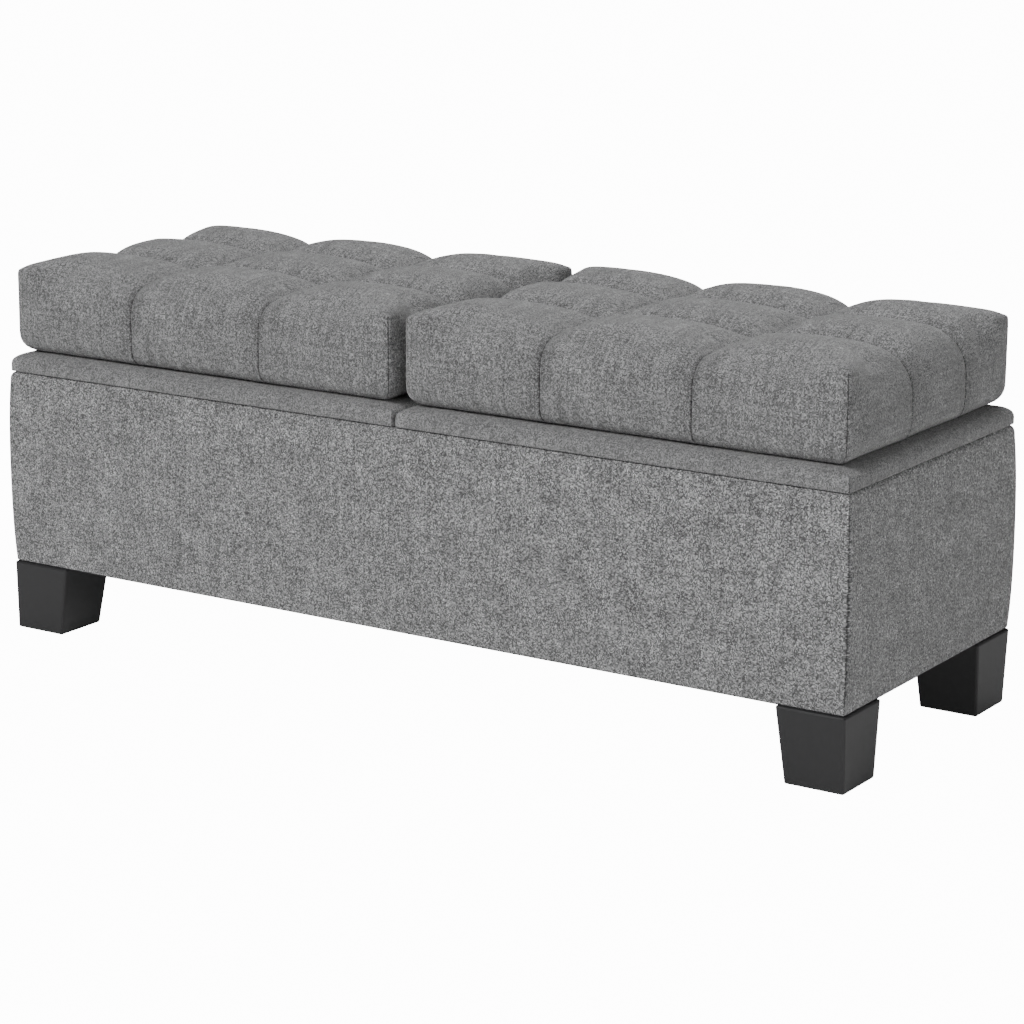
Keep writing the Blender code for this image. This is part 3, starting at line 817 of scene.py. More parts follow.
def fade(distance, length):
    """0 at a corner, rising smoothly to 1 at a length from it."""
    t = np.clip(distance / length, 0, 1)
    return t * t * (3 - 2 * t)


def insets(points):
    """Distances in from the nearer end and side, down from the top and up from the foot."""
    x, y, z = points.T
    end = np.minimum(y - cushion_low.y, cushion_high.y - y)
    side = np.minimum(x - cushion_low.x, cushion_high.x - x)
    return end, side, SEAM_LEVEL - z, z - cushion_low.z


# %% The crowns


def crown_share(place, low, first, second, high):
    """Along one axis, 0 on the two seams and up to 1 between them or towards an edge."""
    inner = 1 - np.abs(2 * (place - first) / (second - first) - 1) ** CROWN_POWER
    out = np.where(place < first, (first - place) / (first - low), (place - second) / (high - second))
    rising = 1 - np.abs(1 - np.clip(out / CROWN_TOP, 0, 1)) ** CROWN_POWER
    falling = (1 - CROWN_EDGE) * (np.clip(out - CROWN_TOP, 0, 1) / (1 - CROWN_TOP)) ** 2
    return np.where((place >= first) & (place <= second), inner, rising - falling)


def crowns(points):
    """How far the top is raised over each point of the flat-sided block."""
    first, second = (cushion_low.x + column for column in SEAM_COLUMNS)
    x, y, z = points.T
    swelling = (crown_share(x, cushion_low.x, first, second, cushion_high.x)
                * crown_share(y, cushion_low.y, *SEAM_ROWS, cushion_high.y))
    seams = [np.abs(x - first), np.abs(x - second), *(np.abs(y - row) for row in SEAM_ROWS)]
    return CROWN * swelling - PULL * np.exp(-np.min(seams, axis=0) / PULL_REACH)


# %% The fold


def fold_block(block):
    """Round the top edges between the corners, and the foot all round, and raise the crowns."""
    points = points_of(block)
    raised = 1 + crowns(points) / (SEAM_LEVEL - cushion_low.z)
    middle = (cushion_low + cushion_high) / 2
    end, side, down, up = insets(points)
    reach_end = CORNER_IN + (EDGE_IN - CORNER_IN) * fade(side, CORNER_FADE)
    reach_side = CORNER_IN + (EDGE_IN - CORNER_IN) * fade(end, CORNER_FADE)
    reach_down = np.maximum(reach_end * END_DROP, reach_side * SIDE_DROP)
    reach = np.stack([reach_end, reach_side, reach_down])
    inset = np.stack([end, side, down])
    share = np.clip(1 - inset / reach, 0, None)
    share = np.where(share > 0, share / np.maximum(np.linalg.norm(share, axis=0), 1), 0)
    end, side, down = np.where(share > 0, reach * (1 - share), inset)

    turn = np.clip(1 - up / FOOT_ROUND, 0, 1) * math.pi / 2
    curl = FOOT_ROUND * (1 - np.cos(turn))
    rise = np.where(up < FOOT_ROUND, FOOT_ROUND * (1 - np.sin(turn)), SEAM_LEVEL - cushion_low.z - down)
    end = end + curl * np.clip(1 - end / FOOT_FADE, 0, 1)
    side = side + curl * np.clip(1 - side / FOOT_FADE, 0, 1)
    half = (cushion_high - cushion_low) / 2
    toward = np.sign(points - np.array(middle))
    points[:, 0] = middle.x + toward[:, 0] * (half.x - side)
    points[:, 1] = middle.y + toward[:, 1] * (half.y - end)
    points[:, 2] = cushion_low.z + rise * raised
    place_points(block, points)


print("crown", CROWN, "m above the seams, stitches pull down", PULL, "m")

# %% [markdown]
# ### Inflate the cover
# The seams, the upright corners and the flat underside are pinned. Cloth pressure pushes the
# rest outwards, and the top may grow by about one percent, which tightens it like a stuffed
# case. Growth is painted in a vertex group: the sides are tight and keep their size. Gravity
# is off, because foam and not weight gives a cushion its shape.

# %% Pin the seams and run the cloth
SEAM_NEAR = 0.0004          # points this close to a seam line belong to it
TOP_GROWTH = 0.012
PRESSURE = 14.0
SWELL_FRAMES = 20


def on_seams(points):
    """Which points of the flat-sided block lie on a seam, an upright corner or the underside."""
    end, side, down, up = insets(points)
    column = np.zeros(len(points), bool)
    for place_x in SEAM_COLUMNS:
        column |= np.abs(points[:, 0] - cushion_low.x - place_x) < SEAM_NEAR
    row = np.zeros(len(points), bool)
    for place_y in SEAM_ROWS:
        row |= np.abs(points[:, 1] - place_y) < SEAM_NEAR
    corner = (end < SEAM_NEAR) & (side < SEAM_NEAR)
    top = down < SEAM_NEAR
    tufted = (column & (top | (end < SEAM_NEAR))) | (row & (top | (side < SEAM_NEAR)))
    return tufted, corner, up < SEAM_NEAR


def paint(piece, name, weights):
    """A vertex group from an array of weights."""
    group = piece.vertex_groups.new(name=name)
    for index, weight in enumerate(weights):
        group.add([index], float(weight), "REPLACE")


def inflate(piece):
    """Blow the cover up between its pinned seams."""
    cloth = piece.modifiers.new("inflate", "CLOTH")
    settings = cloth.settings
    settings.quality = 6
    settings.mass = 0.15
    settings.tension_stiffness = 15
    settings.compression_stiffness = 15
    settings.shear_stiffness = 6
    settings.bending_stiffness = 0.05
    settings.use_pressure = True
    settings.uniform_pressure_force = PRESSURE
    settings.vertex_group_mass = "sewn"
    settings.vertex_group_shrink = "tight"
    settings.shrink_min = -TOP_GROWTH
    settings.shrink_max = 0.0
    settings.effector_weights.gravity = 0
    for step in range(1, SWELL_FRAMES + 1):
        bpy.context.scene.frame_set(step)
    apply_all(piece)
    bpy.context.scene.frame_set(1)


tufted, corner, under = on_seams(points_of(cushion))
below_top = insets(points_of(cushion))[2] > SEAM_NEAR
paint(cushion, "sewn", tufted | corner | under)
paint(cushion, "seam", tufted)
paint(cushion, "corner", corner)
paint(cushion, "tight", below_top)
fold_block(cushion)
before = points_of(cushion)
inflate(cushion)
after = points_of(cushion)
print("cushion top", round(after[:, 2].max(), 4), "moved", round(np.abs(after - before).max(), 4))

# %% [markdown]
# ### Cap the swelling, refine it and sew the channels
# No point may move further than a cap, which keeps the cushion inside the space that the
# frame gives it. One subdivision rounds the cloth's squares. A real cover is never perfectly
# even, so slow noise moves it by a few tenths of a millimetre. The sewn channels come last: the
# seam edges are bevelled to a narrow strip and the strip's middle is sunk, which makes a line
# with a soft lip on each side. The channels, and the valleys beside them, are then marked with
# painted shade, which darkens the cloth where shade falls.

# %% Cap, refine, sew
SWELL_CAP = 0.020
UNEVEN = 0.0005             # height of the slow unevenness
UNEVEN_SIZE = 13.0
CHANNEL = 0.0011            # half the width of a sewn channel
CHANNEL_DEEP = 0.0020
VALLEY_PAINTED_SHADE = 0.40         # painted shade: the cloth is painted a little darker down in the valleys
VALLEY_REACH = 0.011
RELAX = 1                   # rounds of smoothing between the seams


def refine(piece, levels=1):
    """Apply subdivision surface levels."""
    surface = piece.modifiers.new("refine", "SUBSURF")
    surface.levels = levels
    surface.render_levels = levels
    apply_all(piece)


def weights_of(piece, name):
    """The weights of a vertex group as an array."""
    index = piece.vertex_groups[name].index
    found = np.zeros(len(piece.data.vertices))
    for point in piece.data.vertices:
        for member in point.groups:
            if member.group == index:
                found[point.index] = member.weight
    return found


def unsettle(piece, size, amount):
    """Move the points along their normals by slow noise."""
    points = points_of(piece)
    normals = np.empty(points.size, np.float32)
    piece.data.vertices.foreach_get("normal", normals)
    wave = [noise.noise(Vector(p) * size) + 0.5 * noise.noise(Vector(p) * size * 2.7) for p in points]
    place_points(piece, points + normals.reshape(-1, 3) * np.array(wave)[:, None] * amount)


def relax(piece, fixed, rounds):
    """Smooth the points between the fixed ones, which takes out the cloth's small wrinkles."""
    edit(piece)
    bpy.ops.mesh.select_mode(type="VERT")
    mesh = bmesh.from_edit_mesh(piece.data)
    for point in mesh.verts:
        point.select_set(not fixed[point.index])
    bmesh.update_edit_mesh(piece.data)
    bpy.ops.mesh.vertices_smooth(factor=0.5, repeat=rounds)
    done()


def paint_seam_shade(piece, painted_shade_weights):
    """Mark points from 0 to 1 as painted shade, which the cloth's material darkens."""
    marks = (piece.data.attributes.get("painted_seam_shade")
             or piece.data.attributes.new("painted_seam_shade", "FLOAT", "POINT"))
    values = np.zeros(len(piece.data.vertices), np.float32)
    marks.data.foreach_get("value", values)
    marks.data.foreach_set("value", np.maximum(values, painted_shade_weights).astype(np.float32))


# %% Sewn channels


def sew(piece, name, width, depth):
    """Bevel the edges between a group's points, sink the strip's middle and mark it as painted shade.
    """
    marked = weights_of(piece, name) > 0.98
    edit(piece)
    bpy.ops.mesh.select_mode(type="EDGE")
    mesh = bmesh.from_edit_mesh(piece.data)
    for edge in mesh.edges:
        edge.select_set(bool(marked[edge.verts[0].index] and marked[edge.verts[1].index]))
    bmesh.update_edit_mesh(piece.data)
    bpy.ops.mesh.bevel(offset=width, segments=2, affect="EDGES", clamp_overlap=True)
    bpy.ops.mesh.select_mode(type="VERT")
    bpy.ops.mesh.select_less()
    bpy.ops.transform.shrink_fatten(value=-depth)
    done()
    painted_shade_weights = np.zeros(len(piece.data.vertices), bool)
    piece.data.vertices.foreach_get("select", painted_shade_weights)
    paint_seam_shade(piece, painted_shade_weights)


def paint_valley_shade(piece):
    """Mark painted shade on the cloth near the seams, less and less with distance."""
    x, y = points_of(piece)[:, :2].T
    lines = [np.abs(x - cushion_low.x - column) for column in SEAM_COLUMNS]
    lines += [np.abs(y - row) for row in SEAM_ROWS]
    paint_seam_shade(piece, VALLEY_PAINTED_SHADE * np.exp(-np.min(lines, axis=0) / VALLEY_REACH))


# %% Finish the right cushion and copy it
moved = after - before
length = np.linalg.norm(moved, axis=1, keepdims=True)
place_points(cushion, before + moved * np.minimum(1, SWELL_CAP / np.maximum(length, 1e-9)))
relax(cushion, tufted | corner | under, RELAX)
refine(cushion)
unsettle(cushion, UNEVEN_SIZE, UNEVEN)
sew(cushion, "seam", CHANNEL, CHANNEL_DEEP)
sew(cushion, "corner", CHANNEL, CHANNEL_DEEP * 0.5)
paint_valley_shade(cushion)
smooth(cushion, 60)
cushion.data.materials.append(cushion_cloth)
shift_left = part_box("left_cushion_cover")[0].x - cushion_low.x
left_cushion = copy_of(cushion, "left_cushion", (shift_left, 0, 0))
for side_name, piece in (("right", cushion), ("left", left_cushion)):
    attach(piece, side_name + "_lid")
    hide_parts(side_name + "_cushion_cover", side_name + "_cushion_foam")
print("cushions", len(cushion.data.polygons), "faces each")

# %% [markdown]
# ## Wrapped bands: one way of working for body and lids
# The body's sleeve and the lids' covers are both cloth and foam wrapped round boards. An
# upholsterer starts with a straight tube of cloth and folds its edges over and under. The same
# is done here: a cube without ends is the tube, cut into many levels. A profile then says
# where each level goes, as a distance out from the board's nominal edge and a height. Finally
# the tube's two ends are joined, which closes the padded wall.

# %% The straight tube and how it is folded
CORNER_ROUND = 0.003
CORNER_BENDS = 4
CLOTH_REACH = 0.06          # how far from a corner the cloth is gathered when its edge is folded
GATHER_CUTS = (0.012, 0.03) # extra cuts in that stretch, measured from the corner
SHARP_BEND = 0.0004         # the tightest rounding that a folded corner may have
SEAM_TURN = 0.6             # how far round a corner its sewn line begins, as a share


def path_lengths(profile):
    """Distance along a profile of (out, height) stations, from its start."""
    lengths = [0.0]
    for (a, b), (c, d) in zip(profile, profile[1:]):
        lengths.append(lengths[-1] + math.hypot(c - a, d - b))
    return lengths


def make_tube(name, half_x, half_y, lengths, step):
    """A straight rectangular tube, cut into squares and at each station's length."""
    tube = start(name, (-half_x, -half_y, 0), (half_x, half_y, lengths[-1]))
    edit(tube)
    pick_faces(tube, lambda centre, normal: abs(normal.z) > 0.5)
    bpy.ops.mesh.delete(type="ONLY_FACE")
    pick_edges(tube, lambda a, b: abs(a.z - b.z) > lengths[-1] / 2)
    bpy.ops.mesh.bevel(offset=CORNER_ROUND, segments=CORNER_BENDS, affect="EDGES")
    for axis, half in enumerate((half_x, half_y)):
        near = half - CLOTH_REACH
        slice_at(axis, divide_between([-near, near], step))
        slice_at(axis, [-near, near])
        for cut in GATHER_CUTS:
            slice_at(axis, [cut - half, half - cut])
    slice_at(2, lengths[1:-1])
    done()
    return tube


def tube_map(point, normal):
    """Lay the tube's four walls out flat and apart: along the wall, and up."""
    if abs(normal.y) > abs(normal.x):
        return point.x * -np.sign(normal.y) + 3.0 * (normal.y > 0), point.z
    return point.y * np.sign(normal.x) + 5.0 + 3.0 * (normal.x > 0), point.z


# %% Folding the tube


def gather(place, half, out, bend):
    """Move a coordinate so that its wall's end meets the corner of the folded level."""
    near = half - CLOTH_REACH
    target = half + out - bend
    beyond = np.clip((np.abs(place) - near) / (half - CORNER_ROUND - near), 0, 1)
    return np.where(np.abs(place) > near, np.sign(place) * (near + beyond * (target - near)), place)


def fold_tube(tube, half_x, half_y, profile, lengths, seam):
    """Send every level of the tube to its place in the profile, round the corners too."""
    points = points_of(tube)
    x, y, t = points.T
    out = np.interp(t, lengths, [station[0] for station in profile])
    height = np.interp(t, lengths, [station[1] for station in profile])
    turn_x = (x - np.clip(x, CORNER_ROUND - half_x, half_x - CORNER_ROUND)) / CORNER_ROUND
    turn_y = (y - np.clip(y, CORNER_ROUND - half_y, half_y - CORNER_ROUND)) / CORNER_ROUND
    bend = np.maximum(CORNER_ROUND + out, SHARP_BEND)
    diagonal = (np.abs(turn_x) > SEAM_TURN) & (np.abs(turn_y) > SEAM_TURN)
    reach = bend - np.where(diagonal, seam, 0.0)
    points[:, 0] = gather(x, half_x, out, bend) + turn_x * reach
    points[:, 1] = gather(y, half_y, out, bend) + turn_y * reach
    points[:, 2] = height
    place_points(tube, points)
    # painted shade: the cloth is darkened along the sewn corner lines, where shade falls in the crease
    paint_seam_shade(tube, diagonal)


def arc(centre, radii, begin, finish, count):
    """Stations on a quarter of an ellipse, from one angle in degrees to another."""
    found = []
    for i in range(count + 1):
        angle = math.radians(begin + (finish - begin) * i / count)
        found.append((centre[0] + radii[0] * math.cos(angle),
                      centre[1] + radii[1] * math.sin(angle)))
    return found


print("tube helpers ready")

# %% [markdown]
# ## The body's sleeve
# The foam makes each wall stand out by a few millimetres at half height. The cloth tucks in
# under the bottom edge, runs up the wall, rolls over the top of the boards and ends inside the
# compartment under the lining. Four notches at the back leave room for the hinges.

# %% The sleeve, from the frame
half_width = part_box("front_right_leg")[1].x
half_depth = -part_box("front_right_leg")[0].y
panel_low, panel_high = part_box("front_panel")
CLOTH = 0.0005              # thickness of the cover where it lies on a board
BOARD_GAP = 0.0002          # room between the cover and a board
BOARD_OUT = -0.0069         # just outside the boards' outer face
BOARD_IN = -0.02225         # just inside their inner face
SLEEVE_FOOT = 0.0864        # height of the wall's lower edge
FOOT_BEND = 0.0024
FOOT_TUCK = -0.0016         # the lower edge is tucked in by this much
TOP_BEND = (0.005, 0.012)
RIM_END = -0.0125           # where the flat of the rolled top begins
LIP_BEND = 0.0015           # the turn down into the compartment
LIP_IN = BOARD_IN + 0.001   # and where it starts
BULGE = 0.0027              # how far the wall stands out in its middle
LIP_END = 0.3060            # where the cloth ends inside
WALL_STEP = 0.0125
BODY_SEAM = 0.0007          # depth of the sewn line at an upright corner


def wall_out(height):
    """How far the padded wall stands out at a height: most in the middle, tucked in at the ends."""
    middle = (SLEEVE_FOOT + FOOT_BEND + rim - TOP_BEND[1]) / 2
    share = (height - middle) / (rim - TOP_BEND[1] - middle)
    return BULGE * (1 - share ** 2) + FOOT_TUCK * share ** 4


rim = panel_high.z + BOARD_GAP + CLOTH
wall_low = SLEEVE_FOOT + FOOT_BEND
wall_high = rim - TOP_BEND[1]
walls = divide_between([wall_low, wall_high], WALL_STEP)
sleeve_profile = [
    (BOARD_OUT, panel_low.z - 2 * BOARD_GAP), (FOOT_TUCK - FOOT_BEND, SLEEVE_FOOT),
    *arc((FOOT_TUCK - FOOT_BEND, wall_low), (FOOT_BEND, FOOT_BEND), -70, -20, 2),
    (wall_out(wall_low), wall_low), *[(wall_out(z), z) for z in walls],
    *arc((wall_out(wall_high) - TOP_BEND[0], wall_high), TOP_BEND, 0, 90, 8),
    (RIM_END, rim), (LIP_IN, rim),
    *arc((LIP_IN, rim - LIP_BEND), (LIP_BEND, LIP_BEND), 120, 180, 2),
    (BOARD_IN - CLOTH, LIP_END), (BOARD_IN, LIP_END),
    (BOARD_IN, rim - CLOTH), (BOARD_OUT, rim - CLOTH), (BOARD_OUT, panel_low.z - BOARD_GAP)]
sleeve_lengths = path_lengths(sleeve_profile)
sleeve = make_tube("body_sleeve", half_width, half_depth, sleeve_lengths, WALL_STEP)
map_cloth(sleeve, tube_map)
fold_tube(sleeve, half_width, half_depth, sleeve_profile, sleeve_lengths, BODY_SEAM)
print("sleeve", len(sleeve.data.polygons), "faces,", round(sleeve_lengths[-1], 3), "m of cloth round")

# %% [markdown]
# ### Close the sleeve and notch it for the hinges
# The folded tube's two open ends lie side by side, so a bridge between the two edge loops makes
# the wall solid. A real sleeve is snipped where each hinge is screwed on. Here a small cube is
# subtracted with a Boolean modifier, because the notch cuts across many levels of the tube.

# %% Close the sleeve and cut the hinge notches
NOTCH_ROOM = 0.0012         # free space at each end of a hinge
NOTCH_DEEP = 0.0006         # free space under a hinge's leaf
NOTCH_FRONT = 0.150
NOTCH_BACK = 0.220
NOTCH_ABOVE = 0.01


def close_ends(piece):
    """Bridge the tube's two open ends, which lie side by side once it is folded."""
    edit(piece)
    bpy.ops.mesh.select_mode(type="EDGE")
    bpy.ops.mesh.select_non_manifold()
    bpy.ops.mesh.bridge_edge_loops()
    bpy.ops.mesh.select_all(action="SELECT")
    bpy.ops.mesh.normals_make_consistent(inside=False)
    done()


def cut_notches(piece):
    """Cut away the sleeve's rolled top where each hinge lies."""
    for hinge in ("left_inner", "left_outer", "right_inner", "right_outer"):
        low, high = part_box(hinge + "_hinge_pin")
        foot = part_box(hinge + "_hinge_lower_leaf")[0].z - NOTCH_DEEP
        cutter = start("notch", (low.x - NOTCH_ROOM, NOTCH_FRONT, foot),
                       (high.x + NOTCH_ROOM, NOTCH_BACK, rim + NOTCH_ABOVE))
        cut = piece.modifiers.new("notch", "BOOLEAN")
        cut.object = cutter
        apply_all(piece)
        bpy.data.objects.remove(cutter)


close_ends(sleeve)
cut_notches(sleeve)
smooth(sleeve, 50)
sleeve.data.materials.append(body_cloth)
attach(sleeve, "body")
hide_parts("body_cover", "front_foam", "rear_foam", "left_foam", "right_foam")
print("sleeve closed,", len(sleeve.data.polygons), "faces")

# %% [markdown]
# ## The lids' padded covers
# Each lid is a board with a thin foam pad and a smooth cover that is pulled tight over the
# edge and stapled underneath. Its upper edge is a wide soft curve, its lower edge is tight.
# The same tube is used, and its two ends are closed with one face each: the pad's top, which
# the cushion hides, and the ceiling over the board.

# %% The lid cover
LID_TURN = 0.024            # cloth turned under the board
LID_SLOPE = 0.012           # where the turned cloth starts to leave the board
LID_CLOTH = 0.0004          # its thickness there
LID_TOP_BEND = (0.022, 0.0145)
LID_TOP_FLAT = 0.008        # the pad's flat top before its closing face
LID_FOOT_BEND = 0.0026
LID_SEAM = 0.0004           # depth of the sewn line at an upright corner

lid_low, lid_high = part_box("right_lid_cover")
lid_board_low, lid_board_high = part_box("right_lid_board")
board_out = lid_low.x - lid_board_low.x + BOARD_GAP
board_foot = lid_board_low.z - BOARD_GAP
lid_foot = lid_low.z + 0.0001
lid_profile = [
    (board_out, lid_board_high.z + 0.0003), (board_out, board_foot),
    (-LID_TURN, board_foot), (-LID_TURN, board_foot - LID_CLOTH),
    (-LID_SLOPE, board_foot - 1.5 * LID_CLOTH),
    *arc((-LID_FOOT_BEND, lid_foot + LID_FOOT_BEND), (LID_FOOT_BEND, LID_FOOT_BEND), -90, 0, 5),
    (0.0, (lid_foot + LID_FOOT_BEND + lid_high.z - LID_TOP_BEND[1]) / 2),
    *arc((-LID_TOP_BEND[0], lid_high.z - LID_TOP_BEND[1]), LID_TOP_BEND, 0, 90, 12),
    (-LID_TOP_BEND[0] - LID_TOP_FLAT, lid_high.z)]


def make_lid_cover():
    """The padded cover of the right lid, open only round its board."""
    half_x = (lid_high.x - lid_low.x) / 2
    half_y = (lid_high.y - lid_low.y) / 2
    lengths = path_lengths(lid_profile)
    cover = make_tube("right_lid_pad", half_x, half_y, lengths, WALL_STEP)
    map_cloth(cover, tube_map)
    fold_tube(cover, half_x, half_y, lid_profile, lengths, LID_SEAM)
    place_points(cover, points_of(cover) + np.array((lid_low.x + half_x, 0, 0)))
    edit(cover)
    for ring in (lid_profile[0], lid_profile[-1]):
        pick_edges(cover, lambda a, b: on_ring(a, half_x, half_y, ring)
                   and on_ring(b, half_x, half_y, ring))
        bpy.ops.mesh.edge_face_add()
    bpy.ops.mesh.select_all(action="SELECT")
    bpy.ops.mesh.normals_make_consistent(inside=False)
    done()
    return cover


def on_ring(point, half_x, half_y, ring):
    """Whether a point lies on an end ring of the tube, given as (out, height)."""
    x = abs(point.x - lid_low.x - half_x) - half_x
    y = abs(point.y) - half_y
    return abs(point.z - ring[1]) < 1e-5 and abs(max(x, y) - ring[0]) < 1e-4


lid_cover = make_lid_cover()
smooth(lid_cover, 50)
lid_cover.data.materials.append(lid_cloth)
shift_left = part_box("left_lid_cover")[0].x - lid_low.x
left_lid_cover = copy_of(lid_cover, "left_lid_pad", (shift_left, 0, 0))
for side_name, piece in (("right", lid_cover), ("left", left_lid_cover)):
    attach(piece, side_name + "_lid")
    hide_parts(side_name + "_lid_cover", side_name + "_lid_foam")
print("lid covers", len(lid_cover.data.polygons), "faces each")

# %% [markdown]
# ## Cloth inside and underneath
# Each compartment is lined with a bag of dark pressed felt. It is one cloth, folded up at the
# four walls, with a hem turned down inside its mouth. In Blender it is a cube without its lid
# whose mouth is extruded inwards and down, and a Solidify modifier gives the felt its thickness.

# %% The lining bags
FELT = 0.0005               # thickness of the felt
BAG_TOP = 0.309
BAG_INNER = 0.0069          # the wall beside the divider
BAG_HALF = 0.1788           # half the bag's size from front to back
BAG_OFF = 0.0008            # room between the end board and its wall
BAG_HEM = 0.012
BAG_BEND = 0.004            # the rounding of the bag's upright folds
BAG_STEP = 0.02
BAG_SLACK = 0.0007          # how far a loose wall stands off its board

board_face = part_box("right_end_panel")[0].x
bag_low = Vector((BAG_INNER, -BAG_HALF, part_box("floor_panel")[1].z + BOARD_GAP))
bag_high = Vector((board_face - BAG_OFF, BAG_HALF, BAG_TOP))


def make_bag():
    """The right compartment's lining bag."""
    bag = start("right_lining_bag", bag_low, bag_high)
    edit(bag)
    pick_faces(bag, lambda centre, normal: normal.z > 0.5)
    bpy.ops.mesh.delete(type="ONLY_FACE")
    pick_edges(bag, lambda a, b: abs(a.z - b.z) > 0.1)
    bpy.ops.mesh.bevel(offset=BAG_BEND, segments=3, affect="EDGES")
    for axis in (0, 1):
        ends = [bag_low[axis] + BAG_BEND, bag_high[axis] - BAG_BEND]
        slice_at(axis, divide_between(ends, BAG_STEP))
    slice_at(2, divide_between([bag_low.z, bag_high.z - BAG_HEM], BAG_STEP))
    pick_edges(bag, lambda a, b: min(a.z, b.z) > BAG_TOP - 1e-5)
    fold_in = 2.2 * FELT
    middle = (bag_low + bag_high) / 2
    size = bag_high - bag_low
    shrink = (1 - 2 * fold_in / size.x, 1 - 2 * fold_in / size.y, 1)
    bpy.ops.mesh.extrude_edges_move(TRANSFORM_OT_translate={"value": (0, 0, 0)})
    bpy.ops.transform.resize(value=shrink, center_override=middle)
    bpy.ops.mesh.extrude_edges_move(TRANSFORM_OT_translate={"value": (0, 0, -BAG_HEM)})
    done()
    return bag


def loosen(bag):
    """Let the walls of the bag stand off the boards a little between its folds."""
    points = points_of(bag)
    middle = np.array((bag_low + bag_high) / 2)
    wave = np.array([noise.noise(Vector(p) * 11) for p in points])
    stand = BAG_SLACK * np.clip(0.5 + wave, 0, 1)
    stand = stand * fade(BAG_TOP - 0.02 - points[:, 2], 0.06)
    for axis in (0, 1):
        reach = (bag_high[axis] - bag_low[axis]) / 2
        wall = np.abs(np.abs(points[:, axis] - middle[axis]) - reach) < 1e-5
        points[wall, axis] -= (np.sign(points[:, axis] - middle[axis]) * stand)[wall]
    place_points(bag, points)


def thicken(piece, thickness):
    """Give a single layer of cloth its thickness, on the side behind its faces."""
    layer = piece.modifiers.new("thickness", "SOLIDIFY")
    layer.thickness = thickness
    layer.offset = -1
    layer.use_even_offset = True
    apply_all(piece)


def mirror_of(piece, name):
    """A copy with its own mesh on the other side of the bench."""
    twin = copy_of(piece, name)
    place_points(twin, points_of(twin) * np.array((-1, 1, 1)))
    edit(twin)
    bpy.ops.mesh.select_all(action="SELECT")
    bpy.ops.mesh.flip_normals()
    done()
    return twin


right_bag = make_bag()
loosen(right_bag)
thicken(right_bag, FELT)
smooth(right_bag, 35)
right_bag.data.materials.append(lining_felt)
left_bag = mirror_of(right_bag, "left_lining_bag")
for side_name, piece in (("right", right_bag), ("left", left_bag)):
    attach(piece, "body")
    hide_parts(side_name + "_lining")

# %% [markdown]
# ### The strip over the divider
# The board between the compartments would show a raw edge when a lid is up, so a strip of the
# body cloth is folded over its top. It is a cube with only its top and two long sides left,
# whose two upper edges are bevelled round.

# %% The divider strip
STRIP_CLOTH = 0.0006        # its thickness
STRIP_OUT = 0.0008          # its outer face beside the divider
STRIP_UP = 0.0007           # and above it
STRIP_END = 0.306           # height of its lower edges
STRIP_BEND = 0.0015


def make_strip():
    """A strip folded over the divider's top edge."""
    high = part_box("centre_divider")[1]
    corner = Vector((high.x + STRIP_OUT, BAG_HALF + BOARD_GAP, high.z + STRIP_UP))
    strip = start("divider_strip", (-corner.x, -corner.y, STRIP_END), corner)
    edit(strip)
    pick_faces(strip, lambda centre, normal: normal.z < -0.5 or abs(normal.y) > 0.5)
    bpy.ops.mesh.delete(type="ONLY_FACE")
    pick_edges(strip, lambda a, b: min(a.z, b.z) > STRIP_END and abs(a.y - b.y) > 0.1)
    bpy.ops.mesh.bevel(offset=STRIP_BEND, segments=3, affect="EDGES")
    slice_at(1, divide_between([-corner.y, corner.y], BAG_STEP))
    done()
    thicken(strip, STRIP_CLOTH)
    return strip, corner


strip, strip_corner = make_strip()
map_cloth(strip, lambda point, normal: (point.y, point.x + point.z * np.sign(point.x)))
smooth(strip, 50)
strip.data.materials.append(body_cloth)
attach(strip, "body")

# %% [markdown]
# ### Flat cloths under the lids and under the body
# The underside of each lid and of the body is closed with a stapled cloth, whose edge is
# turned under once. A slab is sliced along the hem line, and the part inside the hem is raised
# by one layer. Where a leg bolt comes through, the cloth has a small hole.

# %% The stapled cloths
HEM = 0.012
LID_FELT = 0.00025          # thickness
LID_FELT_IN = 0.012         # how far its edge lies in from the lid's
DUST_CLOTH = 0.0005
DUST_IN = 0.003
DUST_DOWN = 0.00015         # how far it hangs below the frame's own cloth
BOLT_HOLE = 0.0055          # half the size of a hole
FLAT_STEP = 0.05


def make_flat_cloth(name, low, high, holes=()):
    """A thin cloth with a double hem and square holes."""
    cloth = start(name, low, high)
    middle = (Vector(low) + Vector(high)) / 2
    half = (Vector(high) - Vector(low)) / 2
    edit(cloth)
    for axis in (0, 1):
        hems = [low[axis], low[axis] + HEM, high[axis] - HEM, high[axis]]
        slice_at(axis, divide_between(hems, FLAT_STEP))
    for axis in (0, 1):
        edges = {round(h[axis] + side * BOLT_HOLE, 6) for h in holes for side in (-1, 1)}
        slice_at(axis, sorted(edges))

    def inside(centre, normal):
        across = half.x - abs(centre.x - middle.x)
        along = half.y - abs(centre.y - middle.y)
        return normal.z < -0.5 and min(across, along) > HEM

    def in_hole(centre, normal):
        return any(max(abs(centre.x - h[0]), abs(centre.y - h[1])) < BOLT_HOLE for h in holes)

    pick_faces(cloth, inside)
    bpy.ops.transform.translate(value=(0, 0, half.z))
    if holes:
        pick_faces(cloth, in_hole)
        bpy.ops.mesh.delete(type="FACE")
        bpy.ops.mesh.select_mode(type="EDGE")
        bpy.ops.mesh.select_all(action="DESELECT")
        bpy.ops.mesh.select_non_manifold()
        bpy.ops.mesh.bridge_edge_loops()
    done()
    return cloth


